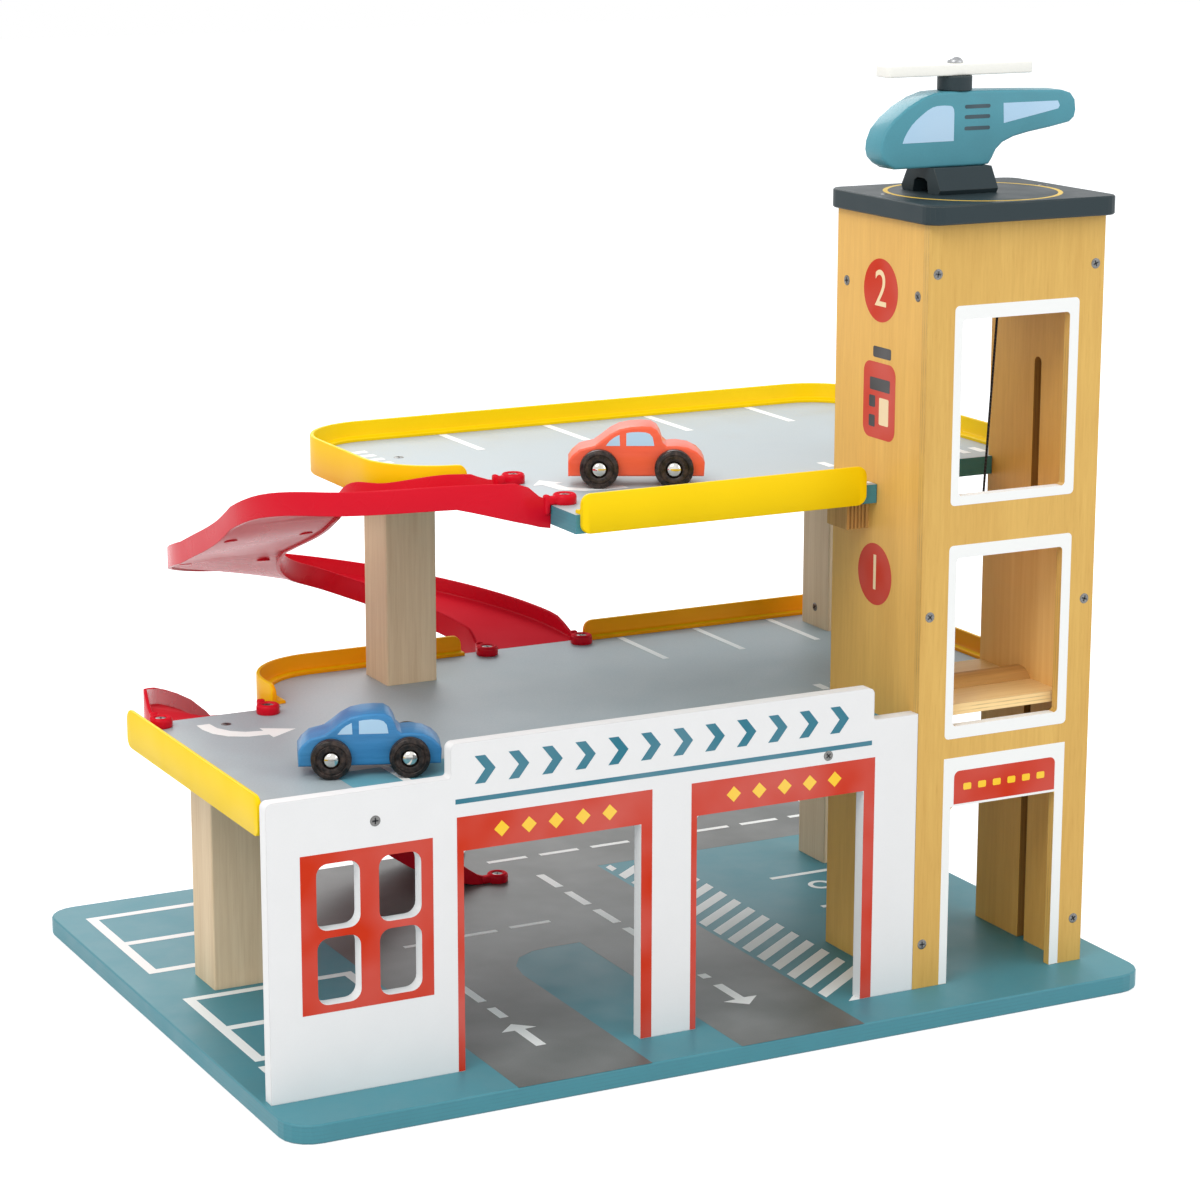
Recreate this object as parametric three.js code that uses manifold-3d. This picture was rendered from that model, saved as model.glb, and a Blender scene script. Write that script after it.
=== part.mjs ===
// Toy parking garage with lift: base board, shop front, two decks on posts, two moulded
// ramps, a lift tower with a hand wheel, a helicopter and two cars.
// Millimetres, Z up, front face toward -Y. The origin is the centre of the base underside.
import * as THREE from 'three';
import { mergeVertices } from 'three/addons/utils/BufferGeometryUtils.js';
import Module from 'manifold-3d';

const wasm = await Module();
wasm.setup();

// Board stock and general clearances
const baseWidth = 600;
const baseDepth = 445;
const boardThick = 12;
const baseCorner = 20;
const edgeRound = 0.8;
const gap = 0.3;
const seat = 0.2;
const overrun = 5;

// Levels, measured from the base underside
const deckOneTop = 183;
const deckTwoTop = 332;
const towerTop = 502;
const deckOneUnder = deckOneTop - boardThick;
const deckTwoUnder = deckTwoTop - boardThick;

// Tower plan and panels
const towerLeft = 143.7;
const towerRight = 273.7;
const towerFront = -183;
const towerBack = -76;
const frontPanelThick = 6;
const sidePanelThick = 11;
const windowLeft = 169.4;
const windowRight = 249;
const windowCorner = 2.5;
const towerDoorTop = 130;
const doorPlateHigh = 53.2;
const middleWindowHigh = 108.6;
const windowBandHigh = 39.7;
const crownHigh = 60;
const middleSill = towerDoorTop + doorPlateHigh;
const middleHead = middleSill + middleWindowHigh;
const topSill = middleHead + windowBandHigh;
const topHead = towerTop - crownHigh;
const shaftLeft = towerLeft + sidePanelThick;
const shaftRight = towerRight - sidePanelThick;
const shaftFront = towerFront + frontPanelThick;

// Guide grooves in the side panels
const guideLine = -130;
const grooveWide = 8;
const grooveDeep = 5;
const grooveUnderRoof = 97;
const grooveTop = towerTop - grooveUnderRoof;

// Roof and cross rails
const roofOverSide = 5;
const roofOverFront = 9;
const roofOverBack = 6;
const roofCorner = 10;
const crossRailThick = 12;
const crossRailWide = 24;
const crossRailUnderRoof = 33.5;
const crossRailInset = 6;
const crossRailHigh = towerTop - crossRailUnderRoof;
const crossRailLow = crossRailHigh - crossRailWide;
const crossRailBack = towerBack - crossRailInset;

// Shop front
const frontLeft = -296;
const frontThick = 9;
const frontTop = 194.6;
const signTop = 215.4;
const signLeft = -179.4;
const signRight = 111.1;
const frontCorner = 4;
const doorCorner = 2;
const doorHead = 149.5;
const doorOneLeft = -171.5;
const doorOneRight = -53;
const doorTwoLeft = -14.6;
const doorTwoRight = 104.6;
const paneColumns = [[-265.5, -238], [-226, -199]];
const paneRows = [[68, 109], [113.5, 154]];
const paneCorner = 7;
const tabDeep = 6;
const tabSpans = [[-262, -195], [-45, -22], [112, 136]];

// Deck outlines
const deckFront = towerFront + frontThick;
const deckOneLeft = -293;
const deckOneNotchY = 54;
const deckOneBackLeft = -190;
const deckOneBack = 130;
const deckTwoLeft = -70;
const deckTwoFront = -129;
const deckTwoExtLeft = -136;
const deckTwoExtFront = -10;
const deckTwoBack = 160;
const deckRight = 287;
const deckSmallCorner = 3;
const deckOneCurve = 50;
const deckTwoCurve = 48;
const deckBackCurve = 42;
const tongueReach = 5;
const tongueFront = towerBack - tongueReach;

// Rails, an angle strip of moulded plastic
const railHigh = 25;
const railThick = 2.8;
const railFoot = 6;
const railFootThick = 2.2;
const railEndRound = 6;
const railInset = 3.5;

// Posts and the small cleat
const postSize = 36;
const postRound = 1.2;
const postLeftX = -254;
const postLeftY = 18;
const postMidX = -107.5;
const postBackY = 72;
const postRightX = 231;
const cleatWide = 16;
const cleatHigh = 18;
const cleatDeep = 24;
const cleatFront = -119;
const cleatGroove = 1.6;
const cleatGrooveCount = 5;

// Ramps, a moulded channel
const rampHalf = 36.25;
const rampWall = 2.5;
const rampFloor = 2.5;
const rampWallUp = 11;
const rampWallDown = 4;
const rampFootDown = 14.5;
const rampFootFlat = 17;
const rampFootRun = 48;
const rampStartRun = 22;
const rampBankRun = 20;
const rampBankFade = 60;
const rampEndRun = 25;
const rampNeckUp = 2.6;
const padRadius = 7.5;
const padHigh = 6.5;
const padInset = 10;
const neckWide = 6;
const neckHigh = 4.6;
const upperRampY = -57.6;
const upperRampLead = 14.6;
const upperRampFarX = -188;
const upperRampEndX = 24.4;
const upperRampFarY = 243.8;
const upperBank = 3.6;
const upperBankRun = 110;
const lowerRampX = -239.6;
const lowerRampEndX = -5;
const lowerRampEndY = 177.2;
const lowerTurnRadius = 66;
const lowerTurnAngle = 40;
const lowerBank = 8.5;
const lowerBankRun = 80;
const upperDropShares = [0, -0.008, 0.03, 0.077, 0.252, 0.386, 0.515, 0.631, 0.717, 0.809, 0.894, 0.96, 1];
const lowerDropShares = [0, 0.065, 0.15, 0.27, 0.475, 0.67, 0.83, 0.935, 1];

// Lift car, resting a little above deck one as in the photo
const liftFloorTop = 195;
const liftFloorThick = 7;
const liftSideGap = 1.5;
const liftWallThick = 5;
const liftFrontGap = 2;
const liftBack = -82.5;
const liftWallHigh = 98;
const liftRoofThick = 7;
const stopLine = -130;
const stopHalf = 12;
const stopHigh = 6.5;
const pinRadius = 3;
const pinHeight = 263;
const pinSunk = 3;
const pinReach = 3.6;
const cordRadius = 0.8;
const cordFootX = 215.8;

// Winding gear
const axleLine = -129.5;
const axleUnderRoof = 45;
const axleHeight = towerTop - axleUnderRoof;
const axleRadius = 3;
const axleBlind = 7;
const spoolX = 225;
const spoolCore = 8.9;
const spoolFlange = 14;
const spoolWide = 14;
const flangeThick = 2;
const cordReach = 10;
const cordPitch = 1.7;
const cordTurnCount = 3.5;
const cordTurnSteps = 56;
const cordSides = 8;
const wheelRadius = 20;
const wheelThick = 10;
const wheelHub = 8;
const wheelHubLong = 10;
const wheelEdge = 1.6;

// Helicopter
const heliX = 199.4;
const heliY = -121;
const heliNose = 140.3;
const heliLong = 145;
const heliHigh = 46.6;
const heliThick = 20;
const skidHigh = 16;
const skidLong = 43;
const skidLeft = 176;
const skidHalf = 22.5;
const mastRadius = 11;
const mastHigh = 11.4;
const bladeLong = 108;
const bladeWide = 16;
const bladeThick = 5.5;
const bladeEdge = 1;
const rotorScrewHead = 5;
const rotorScrewHigh = 3.6;
const rotorScrewShank = 2;
const rotorScrewDeep = 8;

// Cars
const carLong = 86;
const carHigh = 32;
const carWide = 27;
const carClear = 6.7;
const carWheelbase = 47;
const carEdge = 1.1;
const tyreRadius = 12.4;
const tyreWide = 7;
const tyreGap = 0.6;
const hubRadius = 5;
const hubDome = 1.8;
const hubShoulderShare = 0.75;
const carAxleRadius = 1.5;
const carHoleRadius = 1.9;
const carFillet = 0.8;
const blueCarAt = [-198.3, -107, deckOneTop];
const blueCarTurn = -21.1;
const coralCarAt = [9.2, -57, deckTwoTop];
const coralCarTurn = -26.8;

// Facet counts
const cornerSteps = 5;
const bendSteps = 10;
const turnSteps = 24;
const smallTurnSteps = 18;

// Outline of the helicopter side as shares of its length and height
const heliOutlineShares = [
  [0.008, 0.15], [0.034, 0.068], [0.072, 0], [0.524, 0], [0.551, 0.012], [0.569, 0.092],
  [0.587, 0.199], [0.62, 0.291], [0.677, 0.363], [0.752, 0.412], [0.867, 0.466], [0.967, 0.524],
  [0.993, 0.59], [1, 0.688], [0.994, 0.827], [0.97, 0.919], [0.926, 0.962], [0.784, 0.978],
  [0.555, 0.996], [0.345, 1], [0.27, 0.988], [0.204, 0.925], [0.132, 0.81], [0.067, 0.662],
  [0.023, 0.515], [0.003, 0.363], [0, 0.248],
];
// Outline of the car side as shares of its length and height
const carOutlineShares = [
  [0, 0], [0.995, 0], [1, 0.276], [0.983, 0.368], [0.942, 0.483], [0.875, 0.575],
  [0.792, 0.609], [0.721, 0.598], [0.692, 0.667], [0.675, 0.805], [0.65, 0.92], [0.608, 0.989],
  [0.542, 1], [0.458, 0.989], [0.375, 0.943], [0.308, 0.851], [0.242, 0.713], [0.188, 0.609],
  [0.083, 0.54], [0.029, 0.414], [0, 0.299],
];
// Section of the helicopter foot block as shares of its half width and height
const skidOutlineShares = [
  [-0.93, 0], [-0.4, 0], [-0.33, 0.45], [-0.18, 0.56], [0.18, 0.56], [0.33, 0.45], [0.4, 0],
  [0.93, 0], [1, 0.17], [0.65, 1], [-0.65, 1], [-1, 0.17],
];

// Solids and booleans
function toSolid(geometry) {
  const bare = geometry.clone();
  bare.deleteAttribute('normal');
  bare.deleteAttribute('uv');
  const joined = mergeVertices(bare, 1e-4);
  const mesh = new wasm.Mesh({
    numProp: 3,
    vertProperties: new Float32Array(joined.attributes.position.array),
    triVerts: new Uint32Array(joined.index.array),
  });
  return new wasm.Manifold(mesh);
}

function toGeometry(solid) {
  const mesh = solid.getMesh();
  const geometry = new THREE.BufferGeometry();
  geometry.setAttribute('position', new THREE.BufferAttribute(new Float32Array(mesh.vertProperties), 3));
  geometry.setIndex(new THREE.BufferAttribute(new Uint32Array(mesh.triVerts), 1));
  return geometry;
}

function cut(geometry, ...tools) {
  let solid = toSolid(geometry);
  for (const tool of tools) solid = solid.subtract(toSolid(tool));
  return toGeometry(solid);
}

function join(geometry, ...others) {
  let solid = toSolid(geometry);
  for (const other of others) solid = solid.add(toSolid(other));
  return toGeometry(solid);
}

// Outlines: each corner is [x, y, radius]
function cornerPoints(corners) {
  const points = [];
  const count = corners.length;
  corners.forEach((corner, i) => {
    const here = new THREE.Vector2(corner[0], corner[1]);
    const radius = corner[2] || 0;
    if (radius === 0) {
      points.push(here);
      return;
    }
    const before = corners[(i + count - 1) % count];
    const after = corners[(i + 1) % count];
    const inDir = new THREE.Vector2(here.x - before[0], here.y - before[1]).normalize();
    const outDir = new THREE.Vector2(after[0] - here.x, after[1] - here.y).normalize();
    const turn = Math.acos(THREE.MathUtils.clamp(inDir.dot(outDir), -1, 1));
    const reach = radius * Math.tan(turn / 2);
    const start = here.clone().addScaledVector(inDir, -reach);
    const side = Math.sign(inDir.cross(outDir));
    const centre = start.clone().add(new THREE.Vector2(-inDir.y, inDir.x).multiplyScalar(side * radius));
    const steps = radius > baseCorner ? bendSteps : cornerSteps;
    for (let k = 0; k <= steps; k++) {
      points.push(start.clone().rotateAround(centre, (side * turn * k) / steps));
    }
  });
  return points;
}

function outline(corners, holes = []) {
  const shape = new THREE.Shape(cornerPoints(corners));
  for (const hole of holes) shape.holes.push(new THREE.Path(cornerPoints(hole)));
  return shape;
}

function box2(x0, y0, x1, y1, radius = 0) {
  return [[x0, y0, radius], [x1, y0, radius], [x1, y1, radius], [x0, y1, radius]];
}

// Boards: lying flat, standing across the front, or standing along the side
function board(shape, thick, edge = 0) {
  const bevel = edge > 0;
  const body = new THREE.ExtrudeGeometry(shape, {
    depth: thick - 2 * edge,
    bevelEnabled: bevel,
    bevelThickness: edge,
    bevelSize: edge,
    bevelOffset: -edge,
    bevelSegments: 1,
    curveSegments: cornerSteps,
  });
  body.translate(0, 0, edge);
  return body;
}

function flat(shape, thick, z, edge = 0) {
  return board(shape, thick, edge).translate(0, 0, z);
}

function facing(shape, thick, y, edge = 0) {
  return board(shape, thick, edge).rotateX(Math.PI / 2).translate(0, y + thick, 0);
}

function sideways(shape, thick, x, edge = 0) {
  const basis = new THREE.Matrix4().makeBasis(
    new THREE.Vector3(0, 1, 0),
    new THREE.Vector3(0, 0, 1),
    new THREE.Vector3(1, 0, 0),
  );
  return board(shape, thick, edge).applyMatrix4(basis).translate(x, 0, 0);
}

function block(x0, x1, y0, y1, z0, z1) {
  const body = new THREE.BoxGeometry(x1 - x0, y1 - y0, z1 - z0);
  return body.translate((x0 + x1) / 2, (y0 + y1) / 2, (z0 + z1) / 2);
}

// Turned pieces: profile of [radius, height] about Z, then laid along another axis
function turned(profile, steps = turnSteps) {
  const points = profile.map(([radius, height]) => new THREE.Vector2(radius, height));
  return new THREE.LatheGeometry(points, steps).rotateX(Math.PI / 2);
}

function turnedAlongX(profile, steps = turnSteps) {
  return turned(profile, steps).rotateY(Math.PI / 2);
}

function turnedAlongY(profile, steps = turnSteps) {
  return turned(profile, steps).rotateX(-Math.PI / 2);
}

// A section carried along stations; each station gives place, side direction and section
function carried(stations) {
  const size = stations[0].section.length;
  const positions = [];
  for (const at of stations) {
    for (const [across, up] of at.section) {
      positions.push(at.x + at.sideX * across, at.y + at.sideY * across, at.z + up);
    }
  }
  const index = [];
  for (let i = 0; i + 1 < stations.length; i++) {
    for (let k = 0; k < size; k++) {
      const a = i * size + k;
      const b = i * size + ((k + 1) % size);
      index.push(a, b, b + size, a, b + size, a + size);
    }
  }
  const last = (stations.length - 1) * size;
  const cap = (section, offset, flip) => {
    const contour = section.map(([u, v]) => new THREE.Vector2(u, v));
    for (const face of THREE.ShapeUtils.triangulateShape(contour, [])) {
      const [a, b, c] = face.map((n) => n + offset);
      index.push(...(flip ? [a, c, b] : [a, b, c]));
    }
  };
  cap(stations[0].section, 0, true);
  cap(stations[stations.length - 1].section, last, false);
  const geometry = new THREE.BufferGeometry();
  geometry.setAttribute('position', new THREE.Float32BufferAttribute(positions, 3));
  geometry.setIndex(index);
  return outward(geometry);
}

// Turns all faces round when the signed volume shows them facing in
function outward(geometry) {
  const p = geometry.attributes.position;
  const index = geometry.index.array;
  const a = new THREE.Vector3();
  const b = new THREE.Vector3();
  const c = new THREE.Vector3();
  let volume = 0;
  for (let i = 0; i < index.length; i += 3) {
    a.fromBufferAttribute(p, index[i]);
    b.fromBufferAttribute(p, index[i + 1]);
    c.fromBufferAttribute(p, index[i + 2]);
    volume += a.dot(b.cross(c));
  }
  if (volume < 0) {
    for (let i = 0; i < index.length; i += 3) {
      [index[i + 1], index[i + 2]] = [index[i + 2], index[i + 1]];
    }
  }
  return geometry;
}

// Plan path of straights and right-hand bends; heading in radians
function planPath(startX, startY, heading, legs) {
  const path = [{ x: startX, y: startY, heading, run: 0 }];
  let x = startX;
  let y = startY;
  let turn = heading;
  let run = 0;
  const push = () => path.push({ x, y, heading: turn, run });
  for (const leg of legs) {
    const steps = leg.steps;
    if (leg.straight !== undefined) {
      for (let k = 0; k < steps; k++) {
        x += (Math.cos(turn) * leg.straight) / steps;
        y += (Math.sin(turn) * leg.straight) / steps;
        run += leg.straight / steps;
        push();
      }
    } else {
      const centreX = x + Math.sin(turn) * leg.radius;
      const centreY = y - Math.cos(turn) * leg.radius;
      const from = turn;
      for (let k = 1; k <= steps; k++) {
        turn = from - (leg.angle * k) / steps;
        x = centreX - Math.sin(turn) * leg.radius;
        y = centreY + Math.cos(turn) * leg.radius;
        run += (leg.angle * leg.radius) / steps;
        push();
      }
    }
  }
  return path;
}

// Ramp channel: floor, two walls and a deeper foot against the deck it hangs on
function rampSection(wallUp, wallDown, bank) {
  const outer = rampHalf + rampWall / 2;
  const inner = rampHalf - rampWall / 2;
  const level = [
    [-outer, -wallDown], [-inner, -wallDown], [-inner, -rampFloor], [inner, -rampFloor],
    [inner, -wallDown], [outer, -wallDown], [outer, wallUp], [inner, wallUp], [inner, 0],
    [-inner, 0], [-inner, wallUp], [-outer, wallUp],
  ];
  return level.map(([across, up]) => [across, up - (bank * across) / rampHalf]);
}

// The channel leans into its first bend: the bank grows from the deck and fades after bankRun
function rampChannel(path, top, bottom, dropShares, footAtEnd, bank, bankRun) {
  const total = path[path.length - 1].run;
  const spline = new THREE.SplineCurve(dropShares.map((share, i) => new THREE.Vector2(i, share)));
  const stations = path.map((at) => {
    const share = spline.getPoint(at.run / total).y;
    const z = top - (top - bottom) * share;
    const leave = THREE.MathUtils.smoothstep(at.run, 0, rampStartRun);
    const reach = THREE.MathUtils.smoothstep(total - at.run, 0, rampEndRun);
    const neck = Math.min(leave, reach);
    const wallUp = rampNeckUp + (rampWallUp - rampNeckUp) * neck;
    const footFade = rampFootRun - rampFootFlat;
    const footStart = THREE.MathUtils.clamp((rampFootRun - at.run) / footFade, 0, 1);
    const footEnd = THREE.MathUtils.clamp((rampFootRun - (total - at.run)) / footFade, 0, 1);
    const foot = Math.max(footStart, footAtEnd ? footEnd : 0);
    const bankIn = THREE.MathUtils.smoothstep(at.run, 0, rampBankRun);
    const bankOut = THREE.MathUtils.smoothstep(at.run, bankRun, bankRun + rampBankFade);
    let wallDown = rampWallDown + (rampFootDown - rampWallDown) * foot;
    if (!footAtEnd) wallDown = Math.min(wallDown, z - boardThick);
    wallDown = Math.max(wallDown, rampFloor + gap / 100);
    return {
      x: at.x,
      y: at.y,
      z,
      sideX: Math.sin(at.heading),
      sideY: -Math.cos(at.heading),
      section: rampSection(wallUp, wallDown, bank * bankIn * (1 - bankOut)),
    };
  });
  return carried(stations);
}

// Round pad with its neck, lying on the deck beside the channel end
function rampPad(x, y, z, alongX, alongY) {
  const pad = turned([[0, 0], [padRadius, 0], [padRadius, padHigh - edgeRound],
    [padRadius - edgeRound, padHigh], [0, padHigh]], smallTurnSteps).translate(x, y, z);
  const wallUnder = rampFloor;
  const neck = new THREE.BoxGeometry(padInset + rampWall, neckWide, neckHigh)
    .translate((padInset + rampWall) / 2, 0, neckHigh / 2)
    .rotateZ(Math.atan2(alongY, alongX))
    .translate(x, y, z);
  const lug = new THREE.BoxGeometry(rampWall, neckWide, neckHigh + wallUnder)
    .translate(padInset + seat + rampWall / 2, 0, (neckHigh - wallUnder) / 2)
    .rotateZ(Math.atan2(alongY, alongX))
    .translate(x, y, z);
  return [pad, neck, lug];
}

// Plate across the channel end, standing against the deck edge
function rampEndPlate(x0, x1, y0, y1, top, down) {
  return block(x0, x1, y0, y1, top - down, top - rampFloor / 2);
}

// Rail strip along deck edge points, outward side to the right of travel
function railStrip(points, deckTop, roundBottom) {
  const under = -boardThick;
  const top = railHigh - boardThick;
  const runs = [0];
  for (let i = 1; i < points.length; i++) {
    runs.push(runs[i - 1] + points[i].distanceTo(points[i - 1]));
  }
  const total = runs[runs.length - 1];
  const stations = [];
  const addStation = (x, y, sideX, sideY, run) => {
    const fromEnd = Math.min(run, total - run, railEndRound);
    const lack = railEndRound - fromEnd;
    const drop = railEndRound - Math.sqrt(railEndRound ** 2 - lack ** 2);
    const high = top - drop;
    const low = roundBottom ? under + drop : under;
    stations.push({
      x,
      y,
      z: deckTop,
      sideX,
      sideY,
      section: [
        [seat, low], [seat + railThick, low], [seat + railThick, high], [seat, high],
        [seat, railFootThick], [-railFoot, railFootThick], [-railFoot, 0], [seat, 0],
      ],
    });
  };
  const sideAt = (i) => {
    const before = points[Math.max(0, i - 1)];
    const here = points[i];
    const after = points[Math.min(points.length - 1, i + 1)];
    const dirIn = here.clone().sub(before).normalize();
    const dirOut = after.clone().sub(here).normalize();
    const dir = dirIn.add(dirOut).normalize();
    const half = here.equals(before) || here.equals(after) ? 1
      : dir.dot(after.clone().sub(here).normalize());
    return [dir.y / half, -dir.x / half];
  };
  points.forEach((point, i) => {
    const [sideX, sideY] = sideAt(i);
    if (i === points.length - 1) endStations(points[i - 1], point, false);
    addStation(point.x, point.y, sideX, sideY, runs[i]);
    if (i === 0) endStations(point, points[1], true);
  });
  function endStations(from, to, atStart) {
    const dir = to.clone().sub(from).normalize();
    const steps = cornerSteps;
    const list = [];
    for (let k = 1; k <= steps; k++) list.push((railEndRound * k) / steps);
    if (!atStart) list.reverse();
    for (const run of list) {
      const origin = atStart ? from : to;
      const sign = atStart ? 1 : -1;
      const x = origin.x + dir.x * run * sign;
      const y = origin.y + dir.y * run * sign;
      addStation(x, y, dir.y, -dir.x, atStart ? run : total - run);
    }
  }
  return carried(stations);
}

// A corner bend of a deck outline as points, for the rail that follows it
function bendPoints(centreX, centreY, radius, fromAngle, toAngle) {
  const points = [];
  for (let k = 0; k <= bendSteps; k++) {
    const angle = fromAngle + ((toAngle - fromAngle) * k) / bendSteps;
    points.push(new THREE.Vector2(centreX + radius * Math.cos(angle), centreY + radius * Math.sin(angle)));
  }
  return points;
}

const garage = new THREE.Group();
garage.name = 'toy_parking_garage';

function add(name, geometry, colour) {
  const material = new THREE.MeshStandardMaterial({ color: colour });
  material.name = name;
  const mesh = new THREE.Mesh(geometry, material);
  mesh.name = name;
  garage.add(mesh);
}

// Base board with slots for the tabs of the shop front
const baseShape = outline(box2(-baseWidth / 2, -baseDepth / 2, baseWidth / 2, baseDepth / 2, baseCorner));
const slots = tabSpans.map(([x0, x1]) => block(
  x0 - gap, x1 + gap,
  towerFront + seat, towerFront + frontThick - seat,
  boardThick - tabDeep - gap, boardThick + overrun,
));
add('base_board', cut(flat(baseShape, boardThick, 0, edgeRound), ...slots), '#5e96a5');

// Shop front with two doorways, four panes and the raised sign
const frontShape = outline([
  [frontLeft, boardThick, 0],
  [doorOneLeft, boardThick, 0], [doorOneLeft, doorHead, doorCorner],
  [doorOneRight, doorHead, doorCorner], [doorOneRight, boardThick, 0],
  [doorTwoLeft, boardThick, 0], [doorTwoLeft, doorHead, doorCorner],
  [doorTwoRight, doorHead, doorCorner], [doorTwoRight, boardThick, 0],
  [towerLeft - seat, boardThick, 0], [towerLeft - seat, frontTop, 0],
  [signRight, frontTop, doorCorner], [signRight, signTop, frontCorner],
  [signLeft, signTop, frontCorner], [signLeft, frontTop, doorCorner],
  [frontLeft, frontTop, frontCorner],
], paneRows.flatMap(([z0, z1]) => paneColumns.map(([x0, x1]) => box2(x0, z0, x1, z1, paneCorner))));
const tabs = tabSpans.map(([x0, x1]) => block(
  x0, x1,
  towerFront + 2 * seat + gap, towerFront + frontThick - 2 * seat - gap,
  boardThick - tabDeep, boardThick + overrun,
));
add('shop_front', join(facing(frontShape, frontThick, towerFront), ...tabs), '#ebebe9');

// Decks, each reaching into the tower with a tongue
function deckCorners(leftPart) {
  return [
    ...leftPart,
    [towerLeft - gap, leftPart[leftPart.length - 1][1], 0],
    [towerLeft - gap, towerBack + gap, 0],
    [shaftLeft + gap, towerBack + gap, 0],
    [shaftLeft + gap, tongueFront, 0],
    [shaftRight - gap, tongueFront, 0],
    [shaftRight - gap, towerBack + gap, 0],
    [deckRight, towerBack + gap, deckSmallCorner],
  ];
}
const deckOneShape = outline([
  ...deckCorners([
    [deckOneBackLeft, deckOneNotchY, 0],
    [deckOneLeft, deckOneNotchY, deckSmallCorner],
    [deckOneLeft, deckFront, 0],
  ]),
  [deckRight, deckOneBack, deckBackCurve],
  [deckOneBackLeft, deckOneBack, deckOneCurve],
]);
add('deck_one', flat(deckOneShape, boardThick, deckOneUnder), '#8fa5ab');

const deckTwoShape = outline([
  ...deckCorners([
    [deckTwoLeft, deckTwoExtFront, 0],
    [deckTwoLeft, deckTwoFront, 0],
  ]),
  [deckRight, deckTwoBack, deckBackCurve],
  [deckTwoExtLeft, deckTwoBack, deckTwoCurve],
  [deckTwoExtLeft, deckTwoExtFront, deckTwoCurve],
]);
add('deck_two', flat(deckTwoShape, boardThick, deckTwoUnder), '#8fa5ab');

// Four square posts
function post(x, y, z0, z1) {
  return flat(outline(box2(x, y, x + postSize, y + postSize, postRound)), z1 - z0, z0);
}
add('post_left', post(postLeftX, postLeftY, boardThick, deckOneUnder), '#d7be9b');
add('post_middle', post(postMidX, postBackY, deckOneTop, deckTwoUnder), '#d7be9b');
add('post_back_low', post(postRightX, postBackY, boardThick, deckOneUnder), '#d7be9b');
add('post_back_high', post(postRightX, postBackY, deckOneTop, deckTwoUnder), '#d7be9b');

// Grooved cleat that carries deck two at the tower
const cleatGrooves = [];
for (let i = 0; i < cleatGrooveCount; i++) {
  const x = towerLeft - cleatWide + (cleatWide * (i + 1)) / (cleatGrooveCount + 1);
  cleatGrooves.push(block(
    x - cleatGroove / 2, x + cleatGroove / 2,
    cleatFront - overrun, cleatFront + cleatGroove,
    deckTwoUnder - cleatHigh - overrun, deckTwoUnder + overrun,
  ));
}
add('deck_cleat', cut(block(
  towerLeft - cleatWide, towerLeft,
  cleatFront, cleatFront + cleatDeep,
  deckTwoUnder - cleatHigh, deckTwoUnder,
), ...cleatGrooves), '#c99a5c');

// Yellow rails along the deck edges
const quarter = Math.PI / 2;
const railSideFront = towerBack + railEndRound;
const leftRail = [
  new THREE.Vector2(deckOneLeft, deckOneNotchY - railInset),
  new THREE.Vector2(deckOneLeft, deckFront + gap + railThick),
];
add('rail_one_left', railStrip(leftRail, deckOneTop, true), '#f5cd0a');

const railOneEnd = upperRampEndX - rampHalf - 2 * padRadius;
const railOneStart = upperRampEndX + rampHalf + padRadius;
const curveCentreX = deckOneBackLeft + deckOneCurve;
const curveCentreY = deckOneBack - deckOneCurve;
const curveRail = [
  new THREE.Vector2(railOneEnd, deckOneBack),
  ...bendPoints(curveCentreX, curveCentreY, deckOneCurve, quarter, 2 * quarter),
  new THREE.Vector2(deckOneBackLeft, deckOneNotchY + padRadius),
];
add('rail_one_curve', railStrip(curveRail, deckOneTop, false), '#f0a50a');

const backCentreX = deckRight - deckBackCurve;
const backRailOne = [
  new THREE.Vector2(deckRight, railSideFront),
  ...bendPoints(backCentreX, deckOneBack - deckBackCurve, deckBackCurve, 0, quarter),
  new THREE.Vector2(railOneStart, deckOneBack),
];
add('rail_one_back', railStrip(backRailOne, deckOneTop, false), '#f0a50a');

const frontRailTwo = [
  new THREE.Vector2(deckTwoLeft + railThick, deckTwoFront),
  new THREE.Vector2(towerLeft - railHigh / 2 + railThick, deckTwoFront),
];
add('rail_two_front', railStrip(frontRailTwo, deckTwoTop, true), '#f5cd0a');

const extBackY = deckTwoBack - deckTwoCurve;
const extFrontY = deckTwoExtFront + deckTwoCurve;
const extCentreX = deckTwoExtLeft + deckTwoCurve;
const wrapRail = [
  new THREE.Vector2(deckRight, railSideFront),
  ...bendPoints(backCentreX, deckTwoBack - deckBackCurve, deckBackCurve, 0, quarter),
  ...bendPoints(extCentreX, extBackY, deckTwoCurve, quarter, 2 * quarter),
  ...bendPoints(extCentreX, extFrontY, deckTwoCurve, 2 * quarter, 3 * quarter),
];
add('rail_two_wrap', railStrip(wrapRail, deckTwoTop, false), '#f5cd0a');

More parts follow.
